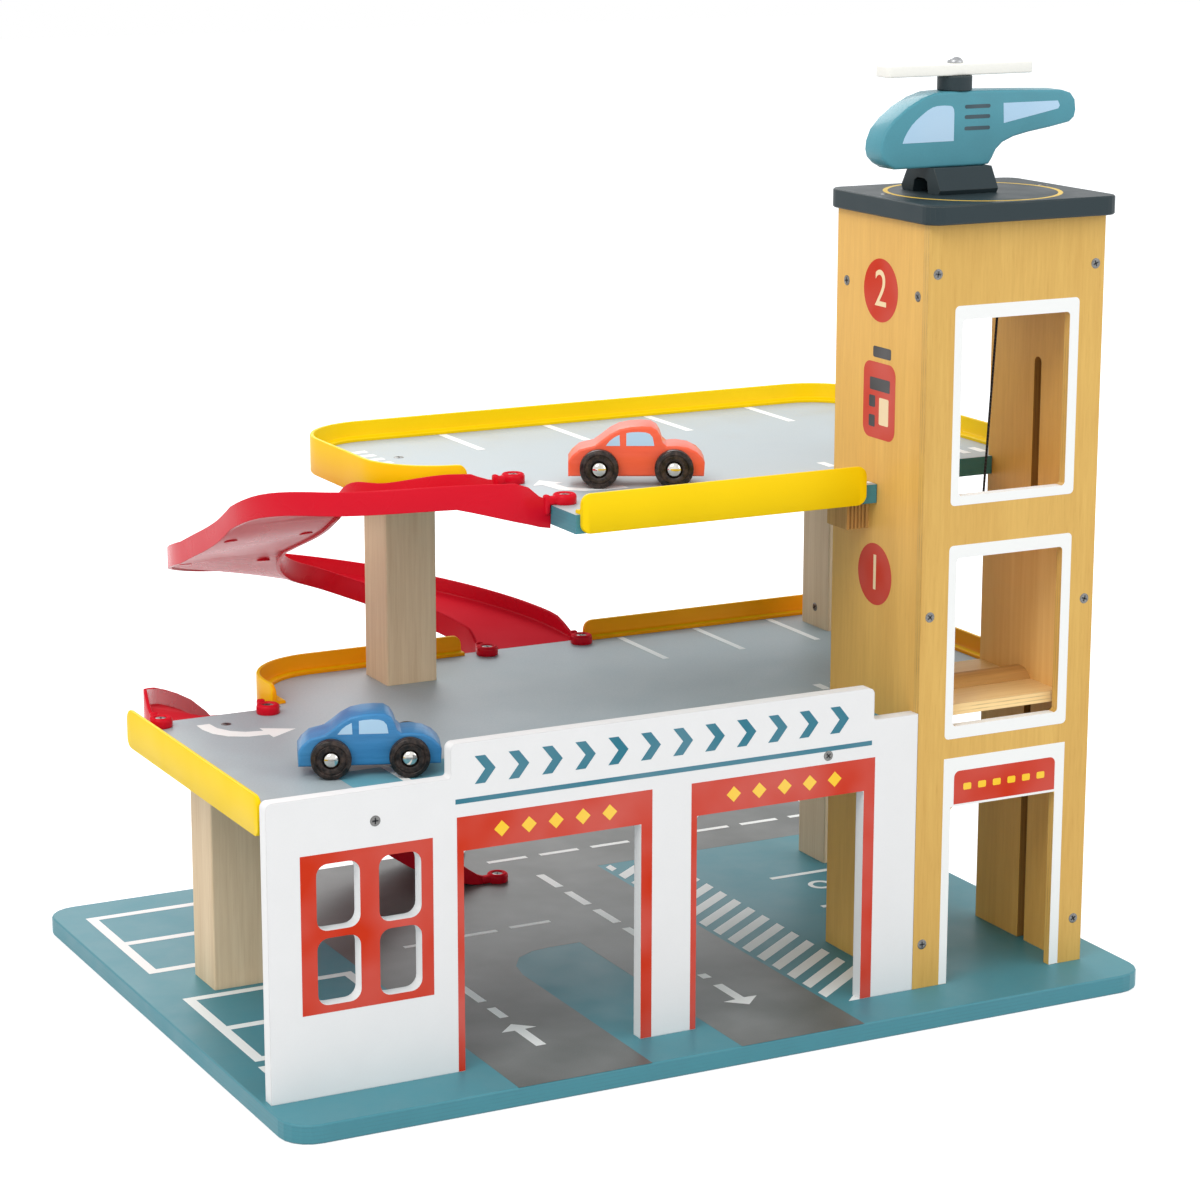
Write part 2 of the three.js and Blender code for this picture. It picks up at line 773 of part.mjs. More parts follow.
// Upper ramp: three quarters of a turn from deck two round behind to deck one
const upperStartX = deckTwoLeft - seat;
const upperFirstRadius = upperStartX - upperRampFarX - upperRampLead;
const upperCentreY = upperRampY + upperFirstRadius;
const upperLastRadius = (upperRampEndX - upperRampFarX) / 2;
const upperTurnY = upperRampFarY - upperLastRadius;
const upperEndY = deckOneBack + seat;
const upperPath = planPath(upperStartX, upperRampY, Math.PI, [
  { straight: upperRampLead, steps: 3 },
  { radius: upperFirstRadius, angle: quarter, steps: bendSteps + cornerSteps },
  { straight: upperTurnY - upperCentreY, steps: 5 },
  { radius: upperLastRadius, angle: 2 * quarter, steps: 2 * bendSteps },
  { straight: upperTurnY - upperEndY, steps: 2 },
]);
const upperOuter = rampHalf + rampWall / 2;
const upperRamp = join(
  rampChannel(upperPath, deckTwoTop, deckOneTop, upperDropShares, true, upperBank, upperBankRun),
  rampEndPlate(upperStartX - rampWall, upperStartX, upperRampY - upperOuter, upperRampY + upperOuter,
    deckTwoTop, rampFootDown),
  rampEndPlate(upperRampEndX - upperOuter, upperRampEndX + upperOuter, upperEndY, upperEndY + rampWall,
    deckOneTop, rampFootDown),
  ...rampPad(deckTwoLeft + padInset, upperRampY - rampHalf, deckTwoTop, -1, 0),
  ...rampPad(deckTwoLeft + padInset, upperRampY + rampHalf, deckTwoTop, -1, 0),
  ...rampPad(upperRampEndX - rampHalf, deckOneBack - padInset, deckOneTop, 0, 1),
  ...rampPad(upperRampEndX + rampHalf, deckOneBack - padInset, deckOneTop, 0, 1),
);
add('ramp_upper', upperRamp, '#d7142d');

// Lower ramp: a tight banked bend off deck one, a wide one behind it, then straight to the base
const lowerStartY = deckOneNotchY + seat;
const lowerTurn = THREE.MathUtils.degToRad(lowerTurnAngle);
const lowerAcross = lowerRampEndY - lowerStartY;
const lowerWideRadius = (lowerAcross - lowerTurnRadius * Math.sin(lowerTurn)) / (1 - Math.sin(lowerTurn));
const lowerBendX = lowerRampX + lowerTurnRadius
  + (lowerWideRadius - lowerTurnRadius) * Math.cos(lowerTurn);
const lowerPath = planPath(lowerRampX, lowerStartY, quarter, [
  { radius: lowerTurnRadius, angle: lowerTurn, steps: cornerSteps },
  { radius: lowerWideRadius, angle: quarter - lowerTurn, steps: 2 * bendSteps - cornerSteps },
  { straight: lowerRampEndX - lowerBendX, steps: cornerSteps },
]);
const lowerEndY = lowerRampEndY;
const lowerRamp = join(
  rampChannel(lowerPath, deckOneTop, boardThick + rampFloor + gap / 100, lowerDropShares, false,
    lowerBank, lowerBankRun),
  rampEndPlate(lowerRampX - upperOuter, lowerRampX + upperOuter, lowerStartY, lowerStartY + rampWall,
    deckOneTop, rampFootDown - seat),
  ...rampPad(lowerRampX - rampHalf, deckOneNotchY - padInset, deckOneTop, 0, 1),
  ...rampPad(lowerRampX + rampHalf, deckOneNotchY - padInset, deckOneTop, 0, 1),
  ...rampPad(lowerRampEndX + padInset, lowerEndY - rampHalf, boardThick, -1, 0).slice(0, 2),
  ...rampPad(lowerRampEndX + padInset, lowerEndY + rampHalf, boardThick, -1, 0).slice(0, 2),
);
add('ramp_lower', lowerRamp, '#d7142d');

// Tower: front panel with three openings, two grooved side panels, cross rails and roof
const towerFrontShape = outline([
  [towerLeft, boardThick, 0], [windowLeft, boardThick, 0],
  [windowLeft, towerDoorTop, windowCorner], [windowRight, towerDoorTop, windowCorner],
  [windowRight, boardThick, 0], [towerRight, boardThick, 0],
  [towerRight, towerTop, 0], [towerLeft, towerTop, 0],
], [
  box2(windowLeft, middleSill, windowRight, middleHead, windowCorner),
  box2(windowLeft, topSill, windowRight, topHead, windowCorner),
]);
add('tower_front', facing(towerFrontShape, frontPanelThick, towerFront), '#d7a95f');

const sideShape = outline(box2(shaftFront, boardThick, towerBack, towerTop));
function groove(x0, x1) {
  const half = grooveWide / 2;
  const shape = outline([
    [guideLine - half, boardThick - overrun, 0], [guideLine + half, boardThick - overrun, 0],
    [guideLine + half, grooveTop, half * (1 - edgeRound / grooveWide)],
    [guideLine - half, grooveTop, half * (1 - edgeRound / grooveWide)],
  ]);
  return sideways(shape, x1 - x0, x0);
}
function axleHole(x0, x1) {
  const radius = axleRadius + gap;
  return turnedAlongX([[0, x0], [radius, x0], [radius, x1], [0, x1]], smallTurnSteps)
    .translate(0, axleLine, axleHeight);
}
add('tower_left', cut(
  sideways(sideShape, sidePanelThick, towerLeft),
  groove(shaftLeft - grooveDeep, shaftLeft + overrun),
  axleHole(shaftLeft - axleBlind, shaftLeft + overrun),
), '#d7a95f');
add('tower_right', cut(
  sideways(sideShape, sidePanelThick, shaftRight),
  groove(shaftRight - overrun, shaftRight + grooveDeep),
  axleHole(shaftRight - overrun, towerRight + overrun),
), '#d7a95f');

const railFrontY = shaftFront;
const railBackY = crossRailBack - crossRailThick;
add('cross_rail_front', block(shaftLeft, shaftRight, railFrontY, railFrontY + crossRailThick,
  crossRailLow, crossRailHigh), '#c99a5c');
add('cross_rail_back', block(shaftLeft, shaftRight, railBackY, crossRailBack,
  crossRailLow, crossRailHigh), '#c99a5c');

const roofShape = outline(box2(towerLeft - roofOverSide, towerFront - roofOverFront,
  towerRight + roofOverSide, towerBack + roofOverBack, roofCorner));
add('tower_roof', flat(roofShape, boardThick, towerTop, edgeRound), '#26323c');

// Winding gear: axle, spool and hand wheel
const axleStart = shaftLeft - axleBlind + gap;
const wheelStart = towerRight + gap;
const wheelInner = wheelStart + wheelHubLong;
const wheelOuter = wheelInner + wheelThick;
const axleEnd = wheelInner;
const bore = axleRadius + seat;
add('winder_axle', turnedAlongX([[0, axleStart], [axleRadius, axleStart], [axleRadius, axleEnd], [0, axleEnd]],
  smallTurnSteps).translate(0, axleLine, axleHeight), '#c8ccd0');
const spoolStart = spoolX - spoolWide / 2 - flangeThick;
const spoolEnd = spoolX + spoolWide / 2 + flangeThick;
add('winder_spool', turnedAlongX([
  [bore, spoolStart], [spoolFlange, spoolStart], [spoolFlange, spoolStart + flangeThick],
  [spoolCore, spoolStart + flangeThick], [spoolCore, spoolEnd - flangeThick],
  [spoolFlange, spoolEnd - flangeThick], [spoolFlange, spoolEnd], [bore, spoolEnd], [bore, spoolStart],
], turnSteps).translate(0, axleLine, axleHeight), '#d7be9b');
add('winder_wheel', turnedAlongX([
  [bore, wheelStart], [wheelHub, wheelStart], [wheelHub, wheelInner],
  [wheelRadius - wheelEdge, wheelInner], [wheelRadius, wheelInner + wheelEdge],
  [wheelRadius, wheelOuter - wheelEdge], [wheelRadius - wheelEdge, wheelOuter], [0, wheelOuter],
  [0, wheelInner + seat], [bore, wheelInner + seat], [bore, wheelStart],
], turnSteps).translate(0, axleLine, axleHeight), '#d2482a');

// Lift car: floor, wheel stop, two walls with guide pins, roof and cord
const liftLeft = shaftLeft + liftSideGap;
const liftRight = shaftRight - liftSideGap;
const liftInnerLeft = liftLeft + liftWallThick;
const liftInnerRight = liftRight - liftWallThick;
const liftFront = shaftFront + liftFrontGap;
const liftUnder = liftFloorTop - liftFloorThick;
const liftWallTop = liftFloorTop + liftWallHigh;
const liftRoofTop = liftWallTop + liftRoofThick;
add('lift_floor', block(liftInnerLeft, liftInnerRight, liftFront, liftBack, liftUnder, liftFloorTop),
  '#d7a95f');
const stopRadius = (stopHalf ** 2 + stopHigh ** 2) / (2 * stopHigh);
const stopSpread = Math.asin(stopHalf / stopRadius);
const stopCentre = liftFloorTop + stopHigh - stopRadius;
const stopShape = outline(Array.from({ length: bendSteps + 1 }, (_, i) => {
  const angle = stopSpread * ((2 * i) / bendSteps - 1);
  return [stopLine - stopRadius * Math.sin(angle), stopCentre + stopRadius * Math.cos(angle), 0];
}));
add('lift_wheel_stop', sideways(stopShape, liftInnerRight - liftInnerLeft, liftInnerLeft), '#c99a5c');
function alongShaft(radius, x0, x1) {
  return turnedAlongX([[0, x0], [radius, x0], [radius, x1], [0, x1]], smallTurnSteps)
    .translate(0, guideLine, pinHeight);
}
function liftWall(x) {
  return block(x, x + liftWallThick, liftFront, liftBack, liftUnder, liftWallTop);
}
const pinHole = pinRadius + seat;
add('lift_wall_left', cut(liftWall(liftLeft), alongShaft(pinHole, liftLeft - overrun, liftLeft + pinSunk)),
  '#d7a95f');
add('lift_wall_right', cut(liftWall(liftInnerRight),
  alongShaft(pinHole, liftRight - pinSunk, liftRight + overrun)), '#d7a95f');
add('lift_roof', block(liftLeft, liftRight, liftFront, liftBack, liftWallTop, liftRoofTop), '#d7a95f');
add('lift_pin_left', alongShaft(pinRadius, shaftLeft - pinReach, liftLeft + pinSunk), '#c99a5c');
add('lift_pin_right', alongShaft(pinRadius, liftRight - pinSunk, shaftRight + pinReach), '#c99a5c');

const cordLong = axleHeight - liftRoofTop;
const cordLean = new THREE.Matrix4().makeShear(0, 0, 0, 0, (spoolX - cordFootX) / cordLong, 0);
const cord = new THREE.CylinderGeometry(cordRadius, cordRadius, cordLong, cordSides)
  .rotateX(Math.PI / 2)
  .applyMatrix4(cordLean)
  .translate((spoolX + cordFootX) / 2, axleLine - cordReach, (axleHeight + liftRoofTop) / 2);
add('lift_cord', cord, '#1c1c1e');

// The rest of the cord, wound on the spool from the point where it leaves for the lift
class CordTurns extends THREE.Curve {
  getPoint(share, target = new THREE.Vector3()) {
    const start = gap / cordReach / 2;
    const angle = start + share * (2 * Math.PI * cordTurnCount - start);
    return target.set(
      spoolX + (cordPitch * angle) / (2 * Math.PI),
      axleLine - cordReach * Math.cos(angle),
      axleHeight + cordReach * Math.sin(angle),
    );
  }
}
const cordShape = outline(Array.from({ length: cordSides }, (_, i) => {
  const angle = (2 * Math.PI * i) / cordSides;
  return [cordRadius * Math.cos(angle), cordRadius * Math.sin(angle), 0];
}));
add('cord_turns', new THREE.ExtrudeGeometry(cordShape, {
  steps: cordTurnSteps,
  bevelEnabled: false,
  extrudePath: new CordTurns(),
}), '#1c1c1e');

// Helicopter: foot block, body slab, mast, rotor and its screw
const heliLow = towerTop + boardThick + skidHigh;
const heliShape = outline(heliOutlineShares.map(([along, up]) => [
  heliNose + along * heliLong, heliLow + up * heliHigh, 0,
]));
const skidShape = outline(skidOutlineShares.map(([across, up]) => [
  heliY + across * skidHalf, towerTop + boardThick + up * skidHigh, 0,
]));
add('heli_foot', sideways(skidShape, skidLong, skidLeft), '#26323c');
add('heli_body', facing(heliShape, heliThick, heliY - heliThick / 2, edgeRound), '#4b91a5');
const mastLow = heliLow + heliHigh;
const mastTop = mastLow + mastHigh;
const shankHole = rotorScrewShank + gap;
add('heli_mast', turned([
  [0, mastLow], [mastRadius, mastLow], [mastRadius, mastTop], [shankHole, mastTop],
  [shankHole, mastTop - rotorScrewDeep - gap], [0, mastTop - rotorScrewDeep - gap],
], turnSteps).translate(heliX, heliY, 0), '#26323c');
const bladeShape = outline(
  box2(heliX - bladeLong / 2, heliY - bladeWide / 2, heliX + bladeLong / 2, heliY + bladeWide / 2,
    bladeWide / 4),
);
const bladeHole = turned([
  [0, mastTop - overrun], [shankHole, mastTop - overrun],
  [shankHole, mastTop + bladeThick + overrun], [0, mastTop + bladeThick + overrun],
], smallTurnSteps).translate(heliX, heliY, 0);
add('rotor_blade', cut(flat(bladeShape, bladeThick, mastTop, bladeEdge), bladeHole), '#f0eeea');
const headLow = mastTop + bladeThick + seat;
const domeSteps = 5;
const domeProfile = [[0, mastTop - rotorScrewDeep], [rotorScrewShank, mastTop - rotorScrewDeep],
  [rotorScrewShank, headLow]];
for (let k = 0; k <= domeSteps; k++) {
  const angle = (quarter * k) / domeSteps;
  const radius = k === domeSteps ? 0 : rotorScrewHead * Math.cos(angle);
  domeProfile.push([radius, headLow + rotorScrewHigh * Math.sin(angle)]);
}
add('rotor_screw', turned(domeProfile, smallTurnSteps).translate(heliX, heliY, 0), '#b8b4ac');

// Cars: slab body, two axles with domed caps, four tyres
function placeCar(geometry, at, turnDegrees) {
  return geometry.rotateZ(THREE.MathUtils.degToRad(turnDegrees)).translate(at[0], at[1], at[2]);
}
function carParts(name, at, turnDegrees, colour) {
  const shape = outline(carOutlineShares.map(([along, up]) => [
    (along - 1 / 2) * carLong, carClear + up * carHigh, 0,
  ]));
  const holes = [-1, 1].map((side) => turnedAlongY([
    [0, -carWide], [carHoleRadius, -carWide], [carHoleRadius, carWide], [0, carWide],
  ], smallTurnSteps).translate((side * carWheelbase) / 2, 0, tyreRadius));
  const body = cut(facing(shape, carWide, -carWide / 2, carEdge), ...holes);
  add(`${name}_body`, placeCar(body, at, turnDegrees), colour);
  const inner = carWide / 2 + tyreGap;
  const outer = inner + tyreWide;
  const capStart = outer - hubDome;
  for (const [end, side] of [['rear', -1], ['front', 1]]) {
    const capEdge = hubRadius * hubShoulderShare;
    const axle = [
      [0, -outer - hubDome / 2], [capEdge, -outer], [hubRadius, -capStart],
      [carAxleRadius, -capStart], [carAxleRadius, capStart],
      [hubRadius, capStart], [capEdge, outer], [0, outer + hubDome / 2],
    ];
    const x = (side * carWheelbase) / 2;
    const rod = turnedAlongY(axle, smallTurnSteps).translate(x, 0, tyreRadius);
    add(`${name}_axle_${end}`, placeCar(rod, at, turnDegrees), '#c9cdd2');
    for (const [hand, sign] of [['near', -1], ['far', 1]]) {
      const tyre = [
        [carAxleRadius + seat, inner], [tyreRadius - carFillet, inner], [tyreRadius, inner + carFillet],
        [tyreRadius, outer - carFillet], [tyreRadius - carFillet, outer],
        [hubRadius + gap, outer], [hubRadius + gap, capStart - seat],
        [carAxleRadius + seat, capStart - seat], [carAxleRadius + seat, inner],
      ];
      const wheel = turnedAlongY(tyre, turnSteps);
      if (sign < 0) wheel.rotateZ(Math.PI);
      wheel.translate(x, 0, tyreRadius);
      add(`${name}_tyre_${end}_${hand}`, placeCar(wheel, at, turnDegrees), '#23201f');
    }
  }
}
carParts('blue_car', blueCarAt, blueCarTurn, '#2d78cd');
carParts('coral_car', coralCarAt, coralCarTurn, '#eb5a3c');

export default garage;
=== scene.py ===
# Toy parking garage with lift, dressed for its picture. Metres, in the model's own frame.
from math import cos, pi, radians, sin, sqrt, tau

import bmesh
import bpy
from mathutils import Matrix, Vector


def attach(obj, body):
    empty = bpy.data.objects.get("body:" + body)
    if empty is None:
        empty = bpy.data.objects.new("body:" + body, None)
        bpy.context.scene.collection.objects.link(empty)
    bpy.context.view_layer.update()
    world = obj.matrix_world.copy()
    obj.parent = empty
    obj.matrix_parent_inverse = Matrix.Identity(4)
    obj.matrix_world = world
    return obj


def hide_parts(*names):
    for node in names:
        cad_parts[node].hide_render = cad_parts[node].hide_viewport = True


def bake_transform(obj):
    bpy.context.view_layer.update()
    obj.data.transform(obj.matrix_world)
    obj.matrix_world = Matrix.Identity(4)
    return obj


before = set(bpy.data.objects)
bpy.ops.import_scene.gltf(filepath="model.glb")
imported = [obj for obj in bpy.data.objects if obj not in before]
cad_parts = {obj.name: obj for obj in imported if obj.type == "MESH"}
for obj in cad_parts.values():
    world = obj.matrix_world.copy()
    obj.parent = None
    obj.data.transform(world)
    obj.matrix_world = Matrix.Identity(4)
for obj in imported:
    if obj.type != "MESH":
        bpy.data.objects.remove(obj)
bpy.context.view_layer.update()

# The table, the light and the camera.
# A white sweep of paper under the toy, one big soft lamp from the upper left, a weaker one from
# the right and a pale sky, with the camera where the photographer stood.
MM = 0.001


def colour(red, green, blue):
    """A screen colour, 0 to 255, as the linear colour that a shader socket takes."""
    shares = [part / 255 for part in (red, green, blue)]
    linear = [s / 12.92 if s <= 0.04045 else ((s + 0.055) / 1.055) ** 2.4 for s in shares]
    return (*linear, 1.0)


scene = bpy.context.scene
scene.view_settings.view_transform = "Standard"

camera_data = bpy.data.cameras.new("front_left_camera")
camera_data.sensor_width = 36.0
camera_data.lens = 101.85
camera_data.clip_end = 50.0
camera = bpy.data.objects.new("front_left_camera", camera_data)
scene.collection.objects.link(camera)
across = Vector((0.88866737, -0.45854955, 0.00162011)).normalized()
upward = Vector((0.10289654, 0.20285363, 0.97378782)).normalized()
toward = Vector((-0.44685861, -0.86520675, 0.22745256)).normalized()
turned_camera = Matrix((across, upward, toward)).transposed().to_4x4()
camera.matrix_world = Matrix.Translation(Vector((-978.72, -1920.39, 748.53)) * MM) @ turned_camera
scene.camera = camera


def math_node(tree, operation, *values):
    """A Math node whose inputs are numbers or sockets."""
    node = tree.nodes.new("ShaderNodeMath")
    node.operation = operation
    for i, value in enumerate(values):
        if isinstance(value, (int, float)):
            node.inputs[i].default_value = value
        else:
            tree.links.new(value, node.inputs[i])
    return node.outputs[0]


def seen_directly(tree):
    """1 for what the camera sees, also mirrored or through glass, and 0 for light on the toy."""
    path = tree.nodes.new("ShaderNodeLightPath")
    seen = path.outputs["Is Camera Ray"]
    for ray in ("Is Glossy Ray", "Is Transmission Ray"):
        seen = math_node(tree, "ADD", seen, path.outputs[ray])
        seen.node.use_clamp = True
    return seen


world = bpy.data.worlds.new("pale_sky")
scene.world = world
world.use_nodes = True
sky = world.node_tree
sky.nodes.clear()
sky_out = sky.nodes.new("ShaderNodeOutputWorld")
sky_shown = sky.nodes.new("ShaderNodeBackground")
sky_light = sky.nodes.new("ShaderNodeBackground")
for background, tint in ((sky_shown, (1, 1, 1, 1)), (sky_light, (0.96, 0.98, 1, 1))):
    background.inputs["Color"].default_value = tint
    background.inputs["Strength"].default_value = 1.0
sky_mix = sky.nodes.new("ShaderNodeMixShader")
sky.links.new(seen_directly(sky), sky_mix.inputs["Fac"])
sky.links.new(sky_light.outputs["Background"], sky_mix.inputs[1])
sky.links.new(sky_shown.outputs["Background"], sky_mix.inputs[2])
sky.links.new(sky_mix.outputs["Shader"], sky_out.inputs["Surface"])


def lamp(name, place, target, size, watts, tint):
    """A round soft lamp, in metres, that looks at its target."""
    data = bpy.data.lights.new(name, "AREA")
    data.shape = "DISK"
    data.size = size
    data.energy = watts
    data.color = tint
    piece = bpy.data.objects.new(name, data)
    piece.location = place
    piece.rotation_euler = (Vector(target) - Vector(place)).to_track_quat("-Z", "Y").to_euler()
    scene.collection.objects.link(piece)


lamp("key_lamp", (-1.6, -1.1, 2.2), (0, 0, 0.2), 1.5, 25.5, (1, 0.985, 0.96))
lamp("fill_lamp", (1.9, -2.0, 1.3), (0, 0, 0.25), 1.8, 10.3, (0.97, 0.985, 1))
lamp("back_lamp", (0.5, 2.2, 2.0), (0, 0, 0.3), 1.6, 27, (1, 1, 1))

PAPER_HALF = 9.0
PAPER_DROP = 0.3
PAPER_GLOW = 0.64
floor_mesh = bpy.data.meshes.new("paper_floor")
shape = bmesh.new()
bmesh.ops.create_grid(shape, x_segments=1, y_segments=1, size=PAPER_HALF)
bmesh.ops.translate(shape, vec=(0, 0, -PAPER_DROP * MM), verts=shape.verts)
shape.to_mesh(floor_mesh)
shape.free()
paper_floor = bpy.data.objects.new("paper_floor", floor_mesh)
scene.collection.objects.link(paper_floor)
paper = bpy.data.materials.new("white_paper")
paper.use_nodes = True
paper_tree = paper.node_tree
paper_tree.nodes.clear()
paper_out = paper_tree.nodes.new("ShaderNodeOutputMaterial")
paper_matt = paper_tree.nodes.new("ShaderNodeBsdfDiffuse")
paper_matt.inputs["Color"].default_value = (0.62, 0.63, 0.64, 1)
paper_glow = paper_tree.nodes.new("ShaderNodeEmission")
paper_glow.inputs["Color"].default_value = (1, 1, 1, 1)
paper_level = math_node(paper_tree, "MULTIPLY", seen_directly(paper_tree), PAPER_GLOW)
paper_sum = paper_tree.nodes.new("ShaderNodeAddShader")
paper_tree.links.new(paper_level, paper_glow.inputs["Strength"])
paper_tree.links.new(paper_matt.outputs["BSDF"], paper_sum.inputs[0])
paper_tree.links.new(paper_glow.outputs["Emission"], paper_sum.inputs[1])
paper_tree.links.new(paper_sum.outputs["Shader"], paper_out.inputs["Surface"])
floor_mesh.materials.append(paper)

# The base board.
# 12 mm plywood with rounded corners, sprayed teal all over. The roads, bays and crossing are
# screen printed on it before the posts, shop front and tower are screwed down.


def new_group(name, inputs, outputs):
    """An empty shader group with its sockets, and its input and output nodes."""
    group = bpy.data.node_groups.new(name, "ShaderNodeTree")
    for socket, kind, value in inputs:
        made = group.interface.new_socket(name=socket, in_out="INPUT", socket_type=kind)
        made.default_value = value
    for socket, kind in outputs:
        group.interface.new_socket(name=socket, in_out="OUTPUT", socket_type=kind)
    return group, group.nodes.new("NodeGroupInput"), group.nodes.new("NodeGroupOutput")


def blend_colours(tree, share, first, second, mode="MIX"):
    """A colour Mix node; each colour is a socket or a written colour."""
    node = tree.nodes.new("ShaderNodeMix")
    node.data_type = "RGBA"
    node.blend_type = mode
    for socket, value in ((node.inputs[0], share), (node.inputs[6], first), (node.inputs[7], second)):
        if isinstance(value, bpy.types.NodeSocket):
            tree.links.new(value, socket)
        else:
            socket.default_value = value
    return node.outputs[2]


def noise(tree, place, scale, detail=3.0, roughness=0.5):
    """Cloudy noise from 0 to 1; scale is how many blobs lie on a metre."""
    node = tree.nodes.new("ShaderNodeTexNoise")
    node.inputs["Scale"].default_value = scale
    node.inputs["Detail"].default_value = detail
    node.inputs["Roughness"].default_value = roughness
    tree.links.new(place, node.inputs["Vector"])
    return node.outputs["Fac"]


def spread(tree, value, low, high, out_low=0.0, out_high=1.0):
    """Stretches the values from low to high over the range that is given, clamped."""
    node = tree.nodes.new("ShaderNodeMapRange")
    node.clamp = True
    for i, number in enumerate((low, high, out_low, out_high)):
        node.inputs[i + 1].default_value = number
    tree.links.new(value, node.inputs[0])
    return node.outputs[0]


def object_place(tree):
    """The place of a point in its own piece."""
    return tree.nodes.new("ShaderNodeTexCoord").outputs["Object"]


def face_normal(tree):
    """The way that a face looks."""
    return tree.nodes.new("ShaderNodeNewGeometry").outputs["Normal"]


def parts_of(tree, vector):
    """The sockets X, Y and Z of a vector."""
    node = tree.nodes.new("ShaderNodeSeparateXYZ")
    tree.links.new(vector, node.inputs[0])
    return node.outputs


# soft_edge rounds the light over an edge and marks where paint wears thin
soft_edge, edge_in, edge_out = new_group(
    "soft_edge",
    [("Radius", "NodeSocketFloat", 0.8 * MM)],
    [("Normal", "NodeSocketVector"), ("Edge", "NodeSocketFloat")],
)
edge_bevel = soft_edge.nodes.new("ShaderNodeBevel")
edge_bevel.samples = 4
edge_dot = soft_edge.nodes.new("ShaderNodeVectorMath")
edge_dot.operation = "DOT_PRODUCT"
soft_edge.links.new(edge_in.outputs["Radius"], edge_bevel.inputs["Radius"])
soft_edge.links.new(edge_bevel.outputs["Normal"], edge_dot.inputs[0])
soft_edge.links.new(face_normal(soft_edge), edge_dot.inputs[1])
soft_edge.links.new(edge_bevel.outputs["Normal"], edge_out.inputs["Normal"])
soft_edge.links.new(spread(soft_edge, edge_dot.outputs["Value"], 0.985, 0.85), edge_out.inputs["Edge"])

# sprayed gives paint its slight mottle and orange peel
sprayed, spray_in, spray_out = new_group(
    "sprayed",
    [
        ("Colour", "NodeSocketColor", (0.5, 0.5, 0.5, 1)),
        ("Edge", "NodeSocketFloat", 0.0),
        ("Mottle", "NodeSocketFloat", 0.08),
        ("Wear", "NodeSocketFloat", 0.15),
    ],
    [("Colour", "NodeSocketColor"), ("Height", "NodeSocketFloat"), ("Roughness", "NodeSocketFloat")],
)
spray_place = object_place(sprayed)
spray_broad = noise(sprayed, spray_place, 38.0)
spray_fine = noise(sprayed, spray_place, 900.0, 2.0)
spray_tone = math_node(
    sprayed, "ADD", math_node(sprayed, "MULTIPLY", spray_broad, 0.7),
    math_node(sprayed, "MULTIPLY", spray_fine, 0.3),
)
spray_shift = math_node(
    sprayed, "MULTIPLY", math_node(sprayed, "SUBTRACT", spray_tone, 0.5), spray_in.outputs["Mottle"]
)
spray_level = math_node(sprayed, "ADD", math_node(sprayed, "MULTIPLY", spray_shift, 4.0), 1.0)
spray_grey = sprayed.nodes.new("ShaderNodeCombineColor")
for hue in ("Red", "Green", "Blue"):
    sprayed.links.new(spray_level, spray_grey.inputs[hue])
spray_shade = blend_colours(sprayed, 1.0, spray_in.outputs["Colour"], spray_grey.outputs["Color"],
                            "MULTIPLY")
spray_rubbed = math_node(sprayed, "MULTIPLY", spray_in.outputs["Edge"], spray_in.outputs["Wear"])
spray_worn = math_node(sprayed, "MULTIPLY", spray_rubbed, spread(sprayed, spray_broad, 0.4, 0.62))
BARE_PLY = colour(226, 214, 190)
sprayed.links.new(blend_colours(sprayed, spray_worn, spray_shade, BARE_PLY), spray_out.inputs["Colour"])
sprayed.links.new(spray_fine, spray_out.inputs["Height"])
sprayed.links.new(spread(sprayed, spray_broad, 0.3, 0.7, 0.38, 0.5), spray_out.inputs["Roughness"])

# plies draws the glue lines that show through paint or varnish on the cut edge of plywood
plies, ply_in, ply_out = new_group(
    "plies",
    [
        ("Colour", "NodeSocketColor", (0.5, 0.5, 0.5, 1)),
        ("Across", "NodeSocketFloat", 0.0),
        ("Facing", "NodeSocketFloat", 0.0),
        ("Strength", "NodeSocketFloat", 0.2),
    ],
    [("Colour", "NodeSocketColor")],
)
PLY_THICK = 2.4
ply_turns = math_node(plies, "MULTIPLY", ply_in.outputs["Across"], tau / (PLY_THICK * MM))
ply_wave = math_node(plies, "SINE", ply_turns)
ply_line = spread(plies, ply_wave, 0.55, 0.95)
ply_side = spread(plies, ply_in.outputs["Facing"], 0.6, 0.4)
ply_break = spread(plies, noise(plies, object_place(plies), 55.0), 0.35, 0.6)
ply_mark = math_node(
    plies, "MULTIPLY", math_node(plies, "MULTIPLY", ply_line, ply_side),
    math_node(plies, "MULTIPLY", ply_in.outputs["Strength"], ply_break),
)
ply_shade = blend_colours(plies, ply_mark, ply_in.outputs["Colour"], (0.05, 0.045, 0.04, 1))
plies.links.new(ply_shade, ply_out.inputs["Colour"])


def use_group(tree, group, **values):
    """Places a shader group; each value is a socket or a number or colour of its own."""
    node = tree.nodes.new("ShaderNodeGroup")
    node.node_tree = group
    for name, value in values.items():
        if isinstance(value, bpy.types.NodeSocket):
            tree.links.new(value, node.inputs[name])
        else:
            node.inputs[name].default_value = value
    return node


def bare_material(name, roughness=0.45, coat=0.0, specular=0.2, metallic=0.0):
    """A new material with its plain gloss set, its node tree and its Principled shader."""
    material = bpy.data.materials.new(name)
    material.use_nodes = True
    tree = material.node_tree
    skin = tree.nodes["Principled BSDF"]
    skin.inputs["Roughness"].default_value = roughness
    skin.inputs["Coat Weight"].default_value = coat
    skin.inputs["Coat Roughness"].default_value = 0.12
    skin.inputs["Specular IOR Level"].default_value = specular
    skin.inputs["Metallic"].default_value = metallic
    return material, tree, skin


